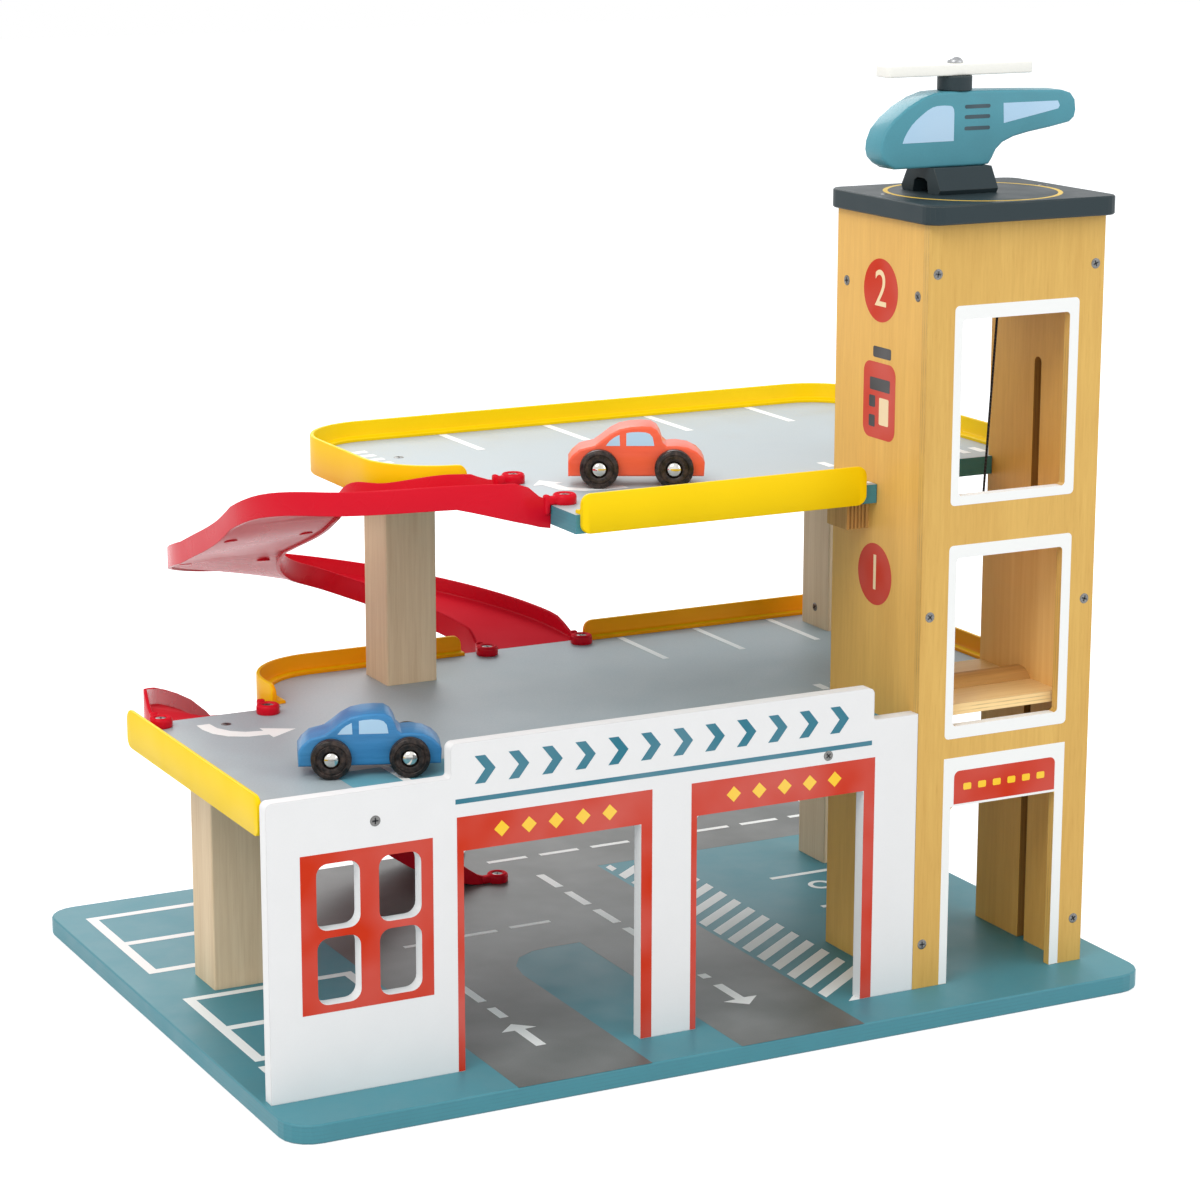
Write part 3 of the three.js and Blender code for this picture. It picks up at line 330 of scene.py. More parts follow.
def add_bump(tree, skin, height, strength, distance, normal=None):
    """Gives the shader its fine relief, on top of a normal of its own, if there is one."""
    bump = tree.nodes.new("ShaderNodeBump")
    bump.inputs["Strength"].default_value = strength
    bump.inputs["Distance"].default_value = distance
    tree.links.new(height, bump.inputs["Height"])
    if normal is not None:
        tree.links.new(normal, bump.inputs["Normal"])
    tree.links.new(bump.outputs["Normal"], skin.inputs["Normal"])


def show_plies(tree, shade, place, axis, strength):
    """The colour with glue lines on the cut edges of a board whose layers lie across the axis."""
    facing = math_node(tree, "ABSOLUTE", parts_of(tree, face_normal(tree))[axis])
    return use_group(tree, plies, Colour=shade, Across=parts_of(tree, place)[axis], Facing=facing,
                     Strength=strength).outputs["Colour"]


def paint(name, shade, wear, mottle=0.05, radius=0.8, coat=0.0, ply_axis=None, top=None,
          specular=0.2):
    """Sprayed paint on wood; top is (colour, height) of a print that covers the upper face."""
    material, tree, skin = bare_material(name, coat=coat, specular=specular)
    place = object_place(tree)
    edge = use_group(tree, soft_edge, Radius=radius * MM)
    if top is not None:
        level = math_node(tree, "GREATER_THAN", parts_of(tree, face_normal(tree))["Z"], 0.7)
        above = math_node(tree, "GREATER_THAN", parts_of(tree, place)["Z"], top[1] * MM)
        speck = spread(tree, noise(tree, place, 1500.0, 2.0), 0.3, 0.75, 0.0, 0.16)
        printed = blend_colours(tree, speck, top[0], (0.72, 0.74, 0.74, 1))
        shade = blend_colours(tree, math_node(tree, "MULTIPLY", level, above), shade, printed)
    if ply_axis is not None:
        shade = show_plies(tree, shade, place, ply_axis, 0.12)
    coated = use_group(tree, sprayed, Colour=shade, Edge=edge.outputs["Edge"], Mottle=mottle, Wear=wear)
    tree.links.new(coated.outputs["Colour"], skin.inputs["Base Color"])
    tree.links.new(coated.outputs["Roughness"], skin.inputs["Roughness"])
    add_bump(tree, skin, coated.outputs["Height"], 0.12, 0.15 * MM, edge.outputs["Normal"])
    return material


def dress(node, material):
    """Gives a solid of the model its material."""
    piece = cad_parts[node]
    piece.data.materials.clear()
    piece.data.materials.append(material)


TEAL = colour(68, 134, 146)
dress("base_board", paint("teal_paint", TEAL, wear=0.1, ply_axis="Z", specular=0.35))

# films of ink: PRINT thick on level boards, where tyres roll, and FILM thick on upright ones
PRINT = 0.05
FILM = 0.1


def ink(name, shade, speck=0.0, roughness=0.5, specular=0.1):
    """Screen printed ink: a thin matt film with fine pinholes, and grey specks where it is a road."""
    material, tree, skin = bare_material(name, roughness=roughness, specular=specular)
    place = object_place(tree)
    grain = noise(tree, place, 1400.0, 2.0, 0.7)
    soft = noise(tree, place, 20.0, 2.0)
    lighter = blend_colours(tree, spread(tree, soft, 0.3, 0.7, 0.0, 0.08), shade, (1, 1, 1, 1))
    flecks = spread(tree, grain, 0.45, 0.75, 0.0, speck)
    dotted = blend_colours(tree, flecks, lighter, (0.75, 0.76, 0.76, 1))
    tree.links.new(dotted, skin.inputs["Base Color"])
    gloss = spread(tree, grain, 0.3, 0.7, roughness - 0.06, roughness + 0.08)
    tree.links.new(gloss, skin.inputs["Roughness"])
    add_bump(tree, skin, grain, 0.08, 0.1 * MM)
    return material


def finish_piece(shape, name, material, body, smooth=None):
    """Makes the object from a bmesh, with its place in its mesh; it rides on body, if one is named."""
    bmesh.ops.scale(shape, vec=(MM, MM, MM), verts=shape.verts)
    mesh = bpy.data.meshes.new(name)
    shape.to_mesh(mesh)
    shape.free()
    mesh.materials.append(material)
    if smooth is not None:
        mesh.shade_smooth()
        mesh.set_sharp_from_angle(angle=radians(smooth))
    piece = bpy.data.objects.new(name, mesh)
    scene.collection.objects.link(piece)
    if body is not None:
        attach(piece, body)
    return piece


def lay_outline(shape, points):
    """A closed ring of edges on the XY plane."""
    ring = [shape.verts.new((x, y, 0)) for x, y in points]
    return [shape.edges.new((ring[i], ring[(i + 1) % len(ring)])) for i in range(len(ring))]


def film(shape, outlines, thick):
    """Fills rings of edges, holes left open, thick in +Z; returns its vertices."""
    edges = [edge for points in outlines for edge in lay_outline(shape, points)]
    filled = bmesh.ops.triangle_fill(shape, use_beauty=True, use_dissolve=True, edges=edges)
    faces = [item for item in filled["geom"] if isinstance(item, bmesh.types.BMFace)]
    raised = bmesh.ops.extrude_face_region(shape, geom=faces, use_keep_orig=True)
    tops = [item for item in raised["geom"] if isinstance(item, bmesh.types.BMVert)]
    bmesh.ops.translate(shape, vec=(0, 0, thick), verts=tops)
    return list({vert for face in faces for vert in face.verts} | set(tops))


def oblong(x0, y0, x1, y1, radius=0.0, steps=6):
    """Corner points of a rectangle, anticlockwise, with round corners if asked."""
    if radius == 0:
        return [(x0, y0), (x1, y0), (x1, y1), (x0, y1)]
    points = []
    centres = ((x1 - radius, y0 + radius), (x1 - radius, y1 - radius), (x0 + radius, y1 - radius),
               (x0 + radius, y0 + radius))
    for corner, (x, y) in enumerate(centres):
        for k in range(steps + 1):
            angle = (corner - 1 + k / steps) * pi / 2
            points.append((x + radius * cos(angle), y + radius * sin(angle)))
    return points


def print_on(name, groups, stand, material, body="garage", thick=FILM):
    """Prints on the face that stand turns to; each group is one film, an outline with its holes."""
    shape = bmesh.new()
    for outlines in groups:
        film(shape, outlines, thick)
    bmesh.ops.recalc_face_normals(shape, faces=shape.faces)
    bmesh.ops.transform(shape, matrix=stand, verts=shape.verts)
    finish_piece(shape, name, material, body)


def print_flat(name, groups, height, material):
    """Prints on a level board."""
    print_on(name, groups, Matrix.Translation((0, 0, height)), material, thick=PRINT)


def disc(x, y, radius, steps=40):
    """Points of a circle, anticlockwise."""
    return [(x + radius * cos(tau * k / steps), y + radius * sin(tau * k / steps)) for k in range(steps)]


def slanted(x0, x1, y, rise, high):
    """A stripe that climbs by rise from x0 to x1; y is the upper corner at x0."""
    return [(x0, y - high), (x1, y - high + rise), (x1, y + rise), (x0, y)]


road_ink = ink("road_ink", colour(76, 79, 76), speck=0.1, roughness=0.36, specular=0.45)
white_ink = ink("white_ink", colour(240, 240, 237))
BASE_TOP = 12.0
road = [
    (-155, -222.3), (-65.5, -222.3), (-65.5, -44), (-62, -27), (-53, -13), (-40, -5.5), (-26, -3.5),
    (-3.5, -3.5), (-3.5, -222.3), (84, -222.3), (84, 140.5), (299.8, 140.5), (299.8, 202), (294, 216),
    (280, 222.3), (-155, 222.3),
]
print_flat("base_roads", [[road]], BASE_TOP, road_ink)

marks = [[oblong(x, 179.8, x + 31, 184.6)] for x in (17, 58.6, 100.2, 141.8, 183.4, 225, 266.4)]
marks += [[oblong(34.8, y, 41, y + 31)] for y in (109, 65.3, 21.6, -22.1, -65.8)]
marks.append([oblong(34.8, -104.2, 41, -96)])
marks += [[oblong(-113.9, -110.8, -107.9, -91.4)], [oblong(-113.9, -78.9, -107.9, -48)]]
marks += [[oblong(-31.7, 42.8, -1.5, 47)], [oblong(-73, 41, -42.4, 45.2)], [oblong(-112, 38, -84, 42.2)]]
marks.append([[(-115.3, -164.8), (-108.4, -164.8), (-108.4, -135), (-100.3, -134.4), (-112.4, -123.5),
               (-123.9, -134.4), (-115.3, -135)]])
marks.append([[(34.2, -118.2), (34.2, -147.6), (25.1, -148.4), (37.5, -159.4), (49.8, -147.2),
               (40.8, -146.6), (40.8, -118.2)]])
crossing = [slanted(87.3, 133.6, -3.4 - 19.64 * k, 33.5, 10.2) for k in range(-5, 9)]
crossing.append([(87.3, 124), (93, 128.2), (93, 138.3), (87.3, 134)])
crossing.append([(96.5, -183), (133.6, -183), (133.6, -146.7)])
marks += [[stripe] for stripe in crossing]
marks.append([[(87.3, 104.2), (133.6, 137.7), (121, 139.5), (87.3, 114.4)]])
BAY_LINE = 7
for x, low, middle, high in ((-280.5, 66.5, 130.5, 192.5), (-278, -112, -50, 12.5)):
    marks.append([oblong(x, low, -162, high), oblong(x + BAY_LINE, middle + 3.4, -169, high - 6.4),
                  oblong(x + BAY_LINE, low + BAY_LINE, -169, middle - 3.4)])
marks.append([[(-279.8, -121), (-252, -121), (-252, -124.5), (-266, -124.5), (-250, -146), (-256, -149),
               (-272, -128), (-272, -139), (-279.8, -139)]])
marks += [[oblong(179, 55.4, 266, 60)], [oblong(179, -14.5, 266, -10)], [oblong(262, -10, 266.5, 55.4)]]
marks.append([disc(203.7, 30.6, 9, 24), disc(203.7, 30.6, 5.5, 24)])
print_flat("base_lines", marks, BASE_TOP + PRINT, white_ink)

# The posts, the cleat and the hidden cross rails.
# Square posts of pale beech, sawn and sanded with the grain upright; the cleat and rails are pine.
# All are bare wood, held by screws through the boards.
grain, grain_in, grain_out = new_group(
    "grain",
    [
        ("Vector", "NodeSocketVector", (0, 0, 0)),
        ("Light", "NodeSocketColor", (0.8, 0.7, 0.5, 1)),
        ("Dark", "NodeSocketColor", (0.5, 0.35, 0.2, 1)),
        ("Contrast", "NodeSocketFloat", 0.5),
    ],
    [("Colour", "NodeSocketColor"), ("Height", "NodeSocketFloat")],
)
fibre = noise(grain, grain_in.outputs["Vector"], 1.0, 4.0, 0.6)
wide = noise(grain, grain_in.outputs["Vector"], 0.16, 2.0, 0.5)
pores = spread(grain, noise(grain, grain_in.outputs["Vector"], 3.4, 1.0, 0.4), 0.62, 0.72)
tone = math_node(grain, "ADD", math_node(grain, "MULTIPLY", spread(grain, fibre, 0.3, 0.7), 0.6),
                 math_node(grain, "MULTIPLY", spread(grain, wide, 0.35, 0.65), 0.4))
dark_share = math_node(grain, "ADD", math_node(grain, "MULTIPLY", tone, grain_in.outputs["Contrast"]),
                       math_node(grain, "MULTIPLY", pores, 0.12))
grain.links.new(
    blend_colours(grain, dark_share, grain_in.outputs["Light"], grain_in.outputs["Dark"]),
    grain_out.inputs["Colour"],
)
grain.links.new(math_node(grain, "SUBTRACT", fibre, math_node(grain, "MULTIPLY", pores, 0.5)),
                grain_out.inputs["Height"])


# the middles of the tower's two sides in X, and how far from them the painted shade inside a groove
# reaches
TOWER_SIDES, GROOVE_SHADE_REACH = (149.6, 267.8), 4.8


def wood(name, light, dark, stretch, contrast, roughness, coat=0.0, ply_axis=None, groove_shade=None):
    """Bare or varnished wood; stretch is how often the fibres repeat per metre along X, Y and Z.

    groove_shade is (line, reach): the Y of a groove in the tower's sides, and how far from it the
    painted shade that darkens the groove's inside reaches.
    """
    material, tree, skin = bare_material(name, roughness=roughness, coat=coat)
    place = object_place(tree)
    mapping = tree.nodes.new("ShaderNodeMapping")
    mapping.inputs["Scale"].default_value = stretch
    tree.links.new(place, mapping.inputs["Vector"])
    edge = use_group(tree, soft_edge, Radius=0.5 * MM)
    fibres = use_group(tree, grain, Vector=mapping.outputs["Vector"], Light=light, Dark=dark,
                       Contrast=contrast)
    shade = fibres.outputs["Colour"]
    if ply_axis is not None:
        shade = show_plies(tree, shade, place, ply_axis, 0.35)
    if groove_shade is not None:
        spots = parts_of(tree, place)
        along = math_node(tree, "COMPARE", spots["Y"], groove_shade[0] * MM, groove_shade[1] * MM)
        cuts = [math_node(tree, "COMPARE", spots["X"], x * MM, GROOVE_SHADE_REACH * MM) for x in TOWER_SIDES]
        cut = math_node(tree, "MULTIPLY", along, math_node(tree, "ADD", *cuts))
        # painted shade: the inside of the deep guide groove is darkened to dark brown, as its shadow
        shade = blend_colours(tree, math_node(tree, "MULTIPLY", cut, 0.62), shade, colour(92, 44, 14))
    tree.links.new(shade, skin.inputs["Base Color"])
    add_bump(tree, skin, fibres.outputs["Height"], 0.2, 0.12 * MM, edge.outputs["Normal"])
    return material


beech = wood("bare_beech", colour(236, 212, 178), colour(200, 166, 126), (520, 520, 16), contrast=0.55,
             roughness=0.62)
for node in ("post_left", "post_middle", "post_back_low", "post_back_high"):
    dress(node, beech)
pine_upright = wood("bare_pine", colour(216, 168, 98), colour(150, 96, 44), (420, 420, 20), contrast=0.6,
                    roughness=0.6)
pine_across = wood("pine_across", colour(216, 170, 104), colour(158, 106, 54), (18, 420, 420),
                   contrast=0.5, roughness=0.6)
dress("deck_cleat", pine_upright)
dress("cross_rail_front", pine_across)
dress("cross_rail_back", pine_across)

# The two decks.
# 12 mm plywood sprayed teal, the upper faces printed grey as asphalt with white bays and arrows,
# and a teal strip of bays along the shop front.
DECK_ONE = 183.0
DECK_TWO = 332.0
# deck two's grey print is written a little lighter than deck one's: painted light, as deck one lies in
# deck two's shade
for node, height, grey in (("deck_one", DECK_ONE, colour(160, 173, 178)),
                           ("deck_two", DECK_TWO, colour(168, 178, 182))):
    dress(node, paint(f"{node}_paint", TEAL, wear=0.08, ply_axis="Z", top=(grey, height - 0.5),
                      specular=0.3))
bay_teal = ink("bay_teal", colour(96, 158, 174), speck=0.03)
print_flat("deck_one_bays", [[oblong(-222, -173.8, 143, -104)]], DECK_ONE, bay_teal)
white_marks = [[oblong(x - 2.6, -173.8, x + 2.6, -104)] for x in (-187, -118, -49, 20, 89)]
white_marks += [[oblong(x - 2.4, 54, x + 2.4, 122.5)] for x in (92, 152, 212)]
white_marks += [[oblong(144.5 + 13 * k, -66, 150.5 + 13 * k, -52)] for k in range(9)]
turn_arrow = [
    (-255, 36), (-246.5, 36), (-245.5, 24), (-240.5, 14), (-233, 8), (-222, 5.4), (-222, 12), (-202, 1),
    (-222, -12), (-222, -4.6), (-235, -3.6), (-246.5, 2.8), (-253, 13), (-255.3, 25),
]
white_marks.append([turn_arrow])
print_flat("deck_one_lines", white_marks, DECK_ONE + PRINT, white_ink)

white_marks = [[oblong(x - 3, 90, x + 3, 153)] for x in (-29, 50, 129, 210)]
white_marks += [[slanted(-128, -100, y, 4, 7)] for y in (118, 104, 90, 76, 62, 48, 34, 20)]
white_marks += [[oblong(134, -124 + 12 * k, 143.2, -119 + 12 * k)] for k in range(4)]
white_marks += [[oblong(146 + 13 * k, -66, 152 + 13 * k, -50)] for k in range(10)]
out_arrow = [
    (-10, -98), (-10, -90), (-34, -88), (-44, -80), (-46, -66), (-40, -66), (-50, -52), (-61, -66),
    (-54.5, -66), (-52, -84), (-40, -95), (-24, -98),
]
white_marks.append([[(x + 8, y + 30) for x, y in out_arrow]])
print_flat("deck_two_lines", white_marks, DECK_TWO + PRINT, white_ink)

# The shop front.
# One 9 mm board with two doorways, four panes and a raised sign, sprayed white. Its red frames and
# window panel and its blue rule are screen printed; the sign and door heads carry plain marks.
white_paint = paint("white_paint", colour(231, 230, 229), mottle=0.02, wear=0.03, radius=1.0)
dress("shop_front", white_paint)
FRONT = -183.0
BOARD_FOOT = 12.2
UPRIGHT = Matrix.Rotation(pi / 2, 4, "X")


def print_front(name, groups, y, material):
    """Prints on a board that faces the front; outlines are given as X and Z."""
    print_on(name, groups, Matrix.Translation((0, y, 0)) @ UPRIGHT, material)


red_ink = ink("red_ink", colour(200, 50, 20), roughness=0.5)
blue_ink = ink("blue_ink", colour(52, 118, 136), roughness=0.42)
yellow_ink = ink("yellow_ink", colour(248, 200, 40), roughness=0.42)


def door_frame(outer_left, outer_right, door_left, door_right, head, top):
    """The outline of a frame on the two sides and the head of a doorway."""
    return [(outer_left, BOARD_FOOT), (door_left, BOARD_FOOT), (door_left, head), (door_right, head),
            (door_right, BOARD_FOOT), (outer_right, BOARD_FOOT), (outer_right, top), (outer_left, top)]


panes = [oblong(x0, z0, x1, z1, 7) for z0, z1 in ((68, 109), (113.5, 154))
         for x0, x1 in ((-265.5, -238), (-226, -199))]
reds = [
    [door_frame(-175.8, -45.5, -171.5, -53, 149.5, 170.5)],
    [door_frame(-18.5, 112.4, -14.6, 104.6, 149.5, 170.5)],
    [oblong(-275.4, 63.4, -191.4, 160.4), *panes],
]
print_front("front_red", reds, FRONT, red_ink)
print_front("front_rule", [[oblong(-176.6, 178.6, 109.8, 181.6)]], FRONT, blue_ink)


def chevron(x, z, size):
    """A plain arrowhead stroke that points to the right."""
    return [(x, z), (x + size * 0.4, z), (x + size * 0.8, z + size / 2), (x + size * 0.4, z + size),
            (x, z + size), (x + size * 0.4, z + size / 2)]


sign_marks = [[chevron(-164 + 22.1 * k, 189.5, 17)] for k in range(12)]
print_front("sign_marks", sign_marks, FRONT, blue_ink)
head_marks = []
for middle in (-110.6, 47):
    for k in range(5):
        x = middle - 36 + 18 * k
        head_marks.append([[(x - 5, 160), (x, 155), (x + 5, 160), (x, 165)]])
print_front("head_marks", head_marks, FRONT - FILM, yellow_ink)

# The lift tower.
# Birch plywood with a clear satin varnish: a 6 mm front with a door and two windows, two 11 mm
# sides with a guide groove, and a charcoal roof plate with a printed landing ring.
birch_front = wood("birch_front", colour(222, 180, 98), colour(184, 132, 58), (420, 420, 26),
                   contrast=0.4, roughness=0.42, coat=0.03, ply_axis="Y")
# the sides get a painted shade inside their guide grooves
birch_side = wood("birch_side", colour(232, 184, 98), colour(196, 140, 62), (420, 420, 26),
                  contrast=0.4, roughness=0.42, coat=0.03, ply_axis="X", groove_shade=(-130, 4.3))
dress("tower_front", birch_front)
dress("tower_left", birch_side)
dress("tower_right", birch_side)
charcoal_paint = paint("charcoal_paint", colour(44, 56, 60), mottle=0.06, wear=0.12)
dress("tower_roof", charcoal_paint)

borders = [
    [oblong(163.6, 325.6, 255.8, 450.8, 3), oblong(169.4, 331.5, 249, 442, 2.5)],
    [oblong(163.6, 175, 255.8, 300.2, 3), oblong(169.4, 183.2, 249, 291.8, 2.5)],
    [door_frame(163.6, 255.8, 169.4, 249, 130, 162.4)],
]
print_front("tower_borders", borders, FRONT, white_ink)
for name, sill in (("upper_sill", 331.5), ("lower_sill", 183.2)):
    print_flat(name, [[oblong(172, -182.9, 246.4, -177.1)]], sill, white_ink)
round_head = oblong(171.6, 136, 248.6, 153.4, 4)[7:21] + [(171.6, 131.6), (248.6, 131.6)]
print_front("tower_sign", [[round_head]], FRONT - FILM, red_ink)
sign_bars = [[oblong(178.6 + 11.2 * k, 140.4, 184.6 + 11.2 * k, 144.8, 1)] for k in range(6)]
print_front("tower_sign_marks", sign_bars, FRONT - 2 * FILM, yellow_ink)
LEFT = 143.7
SIDEWAYS = Matrix(((0, 0, -1), (-1, 0, 0), (0, 1, 0))).to_4x4()


def print_left(name, groups, x, material):
    """Prints on the tower's left side; outlines are given as seen from the left, -Y and Z."""
    print_on(name, groups, Matrix.Translation((x, 0, 0)) @ SIDEWAYS, material)


print_left("floor_discs", [[disc(128.5, 455, 20)], [disc(128, 273.5, 20)]], LEFT, red_ink)
print_left("ticket_plate", [[oblong(110.3, 361, 147.8, 409.5, 7.5)]], LEFT, red_ink)
dark_ink = ink("dark_ink", colour(52, 50, 52), roughness=0.42)
cream_ink = ink("cream_ink", colour(240, 214, 168), roughness=0.42)
print_left("ticket_dark", [[oblong(118, 391.5, 141.4, 399.5, 1)], [oblong(117.4, 380.5, 124.5, 388, 1)],
                           [oblong(117.4, 368, 124.5, 375.5, 1)]], LEFT - FILM, dark_ink)
print_left("ticket_cream", [[oblong(129.3, 370.2, 140.3, 387.4, 1)]], LEFT - FILM, cream_ink)
print_left("ticket_mark", [[oblong(121, 412.5, 142, 419.5, 1.5)]], LEFT, dark_ink)


def numeral(name, text, y, z):
    """A plain numeral, cut as a thin film and stood on its disc."""
    letters = bpy.data.curves.new(name, "FONT")
    letters.body = text
    letters.size = 33
    letters.align_x = "CENTER"
    letters.align_y = "CENTER"
    letters.extrude = FILM / 2
    letters.resolution_u = 6
    sample = bpy.data.objects.new(name + "_curve", letters)
    scene.collection.objects.link(sample)
    mesh = bpy.data.meshes.new_from_object(sample.evaluated_get(bpy.context.evaluated_depsgraph_get()))
    bpy.data.objects.remove(sample)
    shape = bmesh.new()
    shape.from_mesh(mesh)
    bmesh.ops.remove_doubles(shape, verts=shape.verts, dist=0.001)
    bmesh.ops.scale(shape, vec=(0.92, 1, 1), verts=shape.verts)
    stand = Matrix.Translation((LEFT - 1.5 * FILM, y, z)) @ SIDEWAYS
    bmesh.ops.transform(shape, matrix=stand, verts=shape.verts)
    finish_piece(shape, name, cream_ink, "garage")


numeral("floor_two", "2", -128.5, 455)
numeral("floor_one", "1", -128, 273.5)
ROOF = 514.0
ring_ink = ink("ring_ink", colour(232, 190, 60), roughness=0.45)
print_flat("landing_ring", [[disc(208.7, -130.5, radius, 72) for radius in (56.4, 53.4)]], ROOF,
           ring_ink)

# The rails.
# Angle strips of yellow plastic, moulded to the deck outline: a plate that covers the deck edge
# and stands above it, and a narrow foot that lies on the deck. The ends of the plate are round.


def plastic(name, shade, roughness, specular, radius=0.5, bump=0.05, scuffed=0.0, inner=None):
    """Moulded plastic; scuffed is how much rougher its upper faces are, where toy cars run.

    inner is (colour, direction): a painted shade, the deeper colour given to the faces that look that
    way, as if they were in shadow.
    """
    material, tree, skin = bare_material(name, roughness=roughness, specular=specular)
    place = object_place(tree)
    soft = noise(tree, place, 26.0, 2.0)
    fine = noise(tree, place, 700.0, 2.0)
    deeper = (*(part * 0.72 for part in shade[:3]), 1)
    toned = blend_colours(tree, spread(tree, soft, 0.3, 0.7, 0.0, 0.1), shade, deeper)
    # painted shade: faces that look along the direction fade to the darker colour
    if inner is not None:
        look = tree.nodes.new("ShaderNodeVectorMath")
        look.operation = "DOT_PRODUCT"
        look.inputs[1].default_value = inner[1]
        tree.links.new(face_normal(tree), look.inputs[0])
        toned = blend_colours(tree, spread(tree, look.outputs["Value"], 0.05, 0.4), toned, inner[0])
    tree.links.new(toned, skin.inputs["Base Color"])
    gloss = spread(tree, soft, 0.3, 0.7, roughness - 0.04, roughness + 0.05)
    if scuffed:
        upper = spread(tree, parts_of(tree, face_normal(tree))["Z"], 0.5, 0.8, 0.0, scuffed)
        gloss = math_node(tree, "ADD", gloss, upper)
    tree.links.new(gloss, skin.inputs["Roughness"])
    edge = use_group(tree, soft_edge, Radius=radius * MM)
    add_bump(tree, skin, fine, bump, 0.1 * MM, edge.outputs["Normal"])
    return material


def carry(name, stations, section, material, smooth=40):
    """Extrudes a closed section from station to station; section gives its points there."""
    shape = bmesh.new()
    spot = shape.verts.layers.int.new("spot")
    first = section(stations[0])
    ring = [shape.verts.new((0, 0, k)) for k in range(len(first))]
    for k, vert in enumerate(ring):
        vert[spot] = k
    edges = [shape.edges.new((ring[k - 1], ring[k])) for k in range(len(ring))]

    def settle(verts, at):
        points = section(at)
        for vert in verts:
            out, up = points[vert[spot]]
            vert.co = (at["x"] + at["side"][0] * out, at["y"] + at["side"][1] * out, at["z"] + up)

    settle(ring, stations[0])
    shape.faces.new(ring)
    for at in stations[1:]:
        grown = bmesh.ops.extrude_edge_only(shape, edges=edges)["geom"]
        verts = [item for item in grown if isinstance(item, bmesh.types.BMVert)]
        edges = [edge for edge in grown if isinstance(edge, bmesh.types.BMEdge)
                 and all(vert in verts for vert in edge.verts)]
        settle(verts, at)
    shape.faces.new(sorted(verts, key=lambda vert: vert[spot]))
    bmesh.ops.recalc_face_normals(shape, faces=shape.faces)
    return finish_piece(shape, name, material, "garage", smooth)


def plan(start, legs):
    """Walks straights and bends, as stops of (x, y, heading, run).

    A leg is ("line", length) or ("bend", radius, degrees to the left).
    """
    x, y, heading = start
    stops = [(x, y, heading, 0.0)]
    run = 0.0
    for leg in legs:
        if leg[0] == "line":
            steps = max(1, round(leg[1] / 6))
            for _ in range(steps):
                x += cos(heading) * leg[1] / steps
                y += sin(heading) * leg[1] / steps
                run += leg[1] / steps
                stops.append((x, y, heading, run))
        else:
            radius, turn = leg[1], radians(leg[2])
            side = 1 if turn > 0 else -1
            centre = (x - sin(heading) * radius * side, y + cos(heading) * radius * side)
            steps = max(6, round(abs(leg[2]) / 3.75))
            from_heading = heading
            for k in range(1, steps + 1):
                heading = from_heading + turn * k / steps
                x = centre[0] + sin(heading) * radius * side
                y = centre[1] - cos(heading) * radius * side
                run += abs(turn) * radius / steps
                stops.append((x, y, heading, run))
    return stops


RAIL_THICK = 2.8
RAIL_SEAT = 0.2
RAIL_ROUND = 6.0
RAIL_UP = 13
RAIL_DOWN = 12
RAIL_FOOT = 6


def rail(name, start, legs, deck, whole_end, material):
    """A rail whose plate stands to the right of the walk; whole_end also rounds the lower corners."""
    stops = plan(start, legs)
    total = stops[-1][3]
    ends = list(stops)
    for share in (0.04, 0.15, 0.35, 0.65, 1.0):
        reach = RAIL_ROUND * share
        for base, sign in ((stops[0], 1), (stops[-1], -1)):
            x, y, heading, run = base
            ends.append((x + cos(heading) * reach * sign, y + sin(heading) * reach * sign, heading,
                         run + reach * sign))
    ends.sort(key=lambda stop: stop[3])
    stations = [{"x": x, "y": y, "z": deck, "side": (sin(heading), -cos(heading)),
                 "end": min(run, total - run)} for x, y, heading, run in ends]

    def section(at):
        lack = RAIL_ROUND - min(at["end"], RAIL_ROUND)
        drop = RAIL_ROUND - sqrt(max(RAIL_ROUND ** 2 - lack ** 2, 0))
        high = RAIL_UP - drop
        low = -RAIL_DOWN + (drop if whole_end else 0)
        inner, outer = RAIL_SEAT, RAIL_SEAT + RAIL_THICK
        return [
            (inner, low), (outer - 0.5, low), (outer, low + 0.6), (outer, high - 1.0),
            (outer - 0.35, high - 0.3), (outer - 1.4, high), (inner + 0.35, high - 0.3),
            (inner, high - 1.0), (inner, 3.6), (inner - 0.5, 2.7), (inner - 1.4, 2.3),
            (0.6 - RAIL_FOOT, 2.2), (-RAIL_FOOT, 1.6), (-RAIL_FOOT, 0.02), (inner, 0.02),
        ]

    piece = carry(name.replace("rail", "strip"), stations, section, material)
    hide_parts(name)


yellow_plastic = plastic("yellow_plastic", colour(246, 206, 0), 0.42, 0.12)
# deck one's rails are the same yellow plastic; the amber on their inner faces is painted shade, for the
# shadow of deck two above
AMBER_PAINTED_SHADE = colour(250, 162, 2)
GOLD = colour(248, 200, 0)
curve_plastic_painted_shade = plastic("curve_plastic_painted_shade", GOLD, 0.42, 0.12, inner=(AMBER_PAINTED_SHADE, (0.7, -0.7, 0)))
back_plastic_painted_shade = plastic("back_plastic_painted_shade", GOLD, 0.42, 0.12, inner=(AMBER_PAINTED_SHADE, (-0.7, -0.7, 0)))
down, left, up, right = -pi / 2, pi, pi / 2, 0.0
rail("rail_one_left", (-293, 50.5, down), [("line", 221.2)], DECK_ONE, True, yellow_plastic)
rail("rail_one_curve", (-26.85, 130, left), [("line", 113.15), ("bend", 50, 90), ("line", 18.5)],
     DECK_ONE, False, curve_plastic_painted_shade)
rail("rail_one_back", (287, -70, up), [("line", 158), ("bend", 42, 90), ("line", 176.85)],
     DECK_ONE, False, back_plastic_painted_shade)
rail("rail_two_front", (-67.2, -129, right), [("line", 201.2)], DECK_TWO, True, yellow_plastic)
rail("rail_two_wrap", (287, -70, up),
     [("line", 188), ("bend", 42, 90), ("line", 333), ("bend", 48, 90), ("line", 74), ("bend", 48, 90)],
     DECK_TWO, False, yellow_plastic)

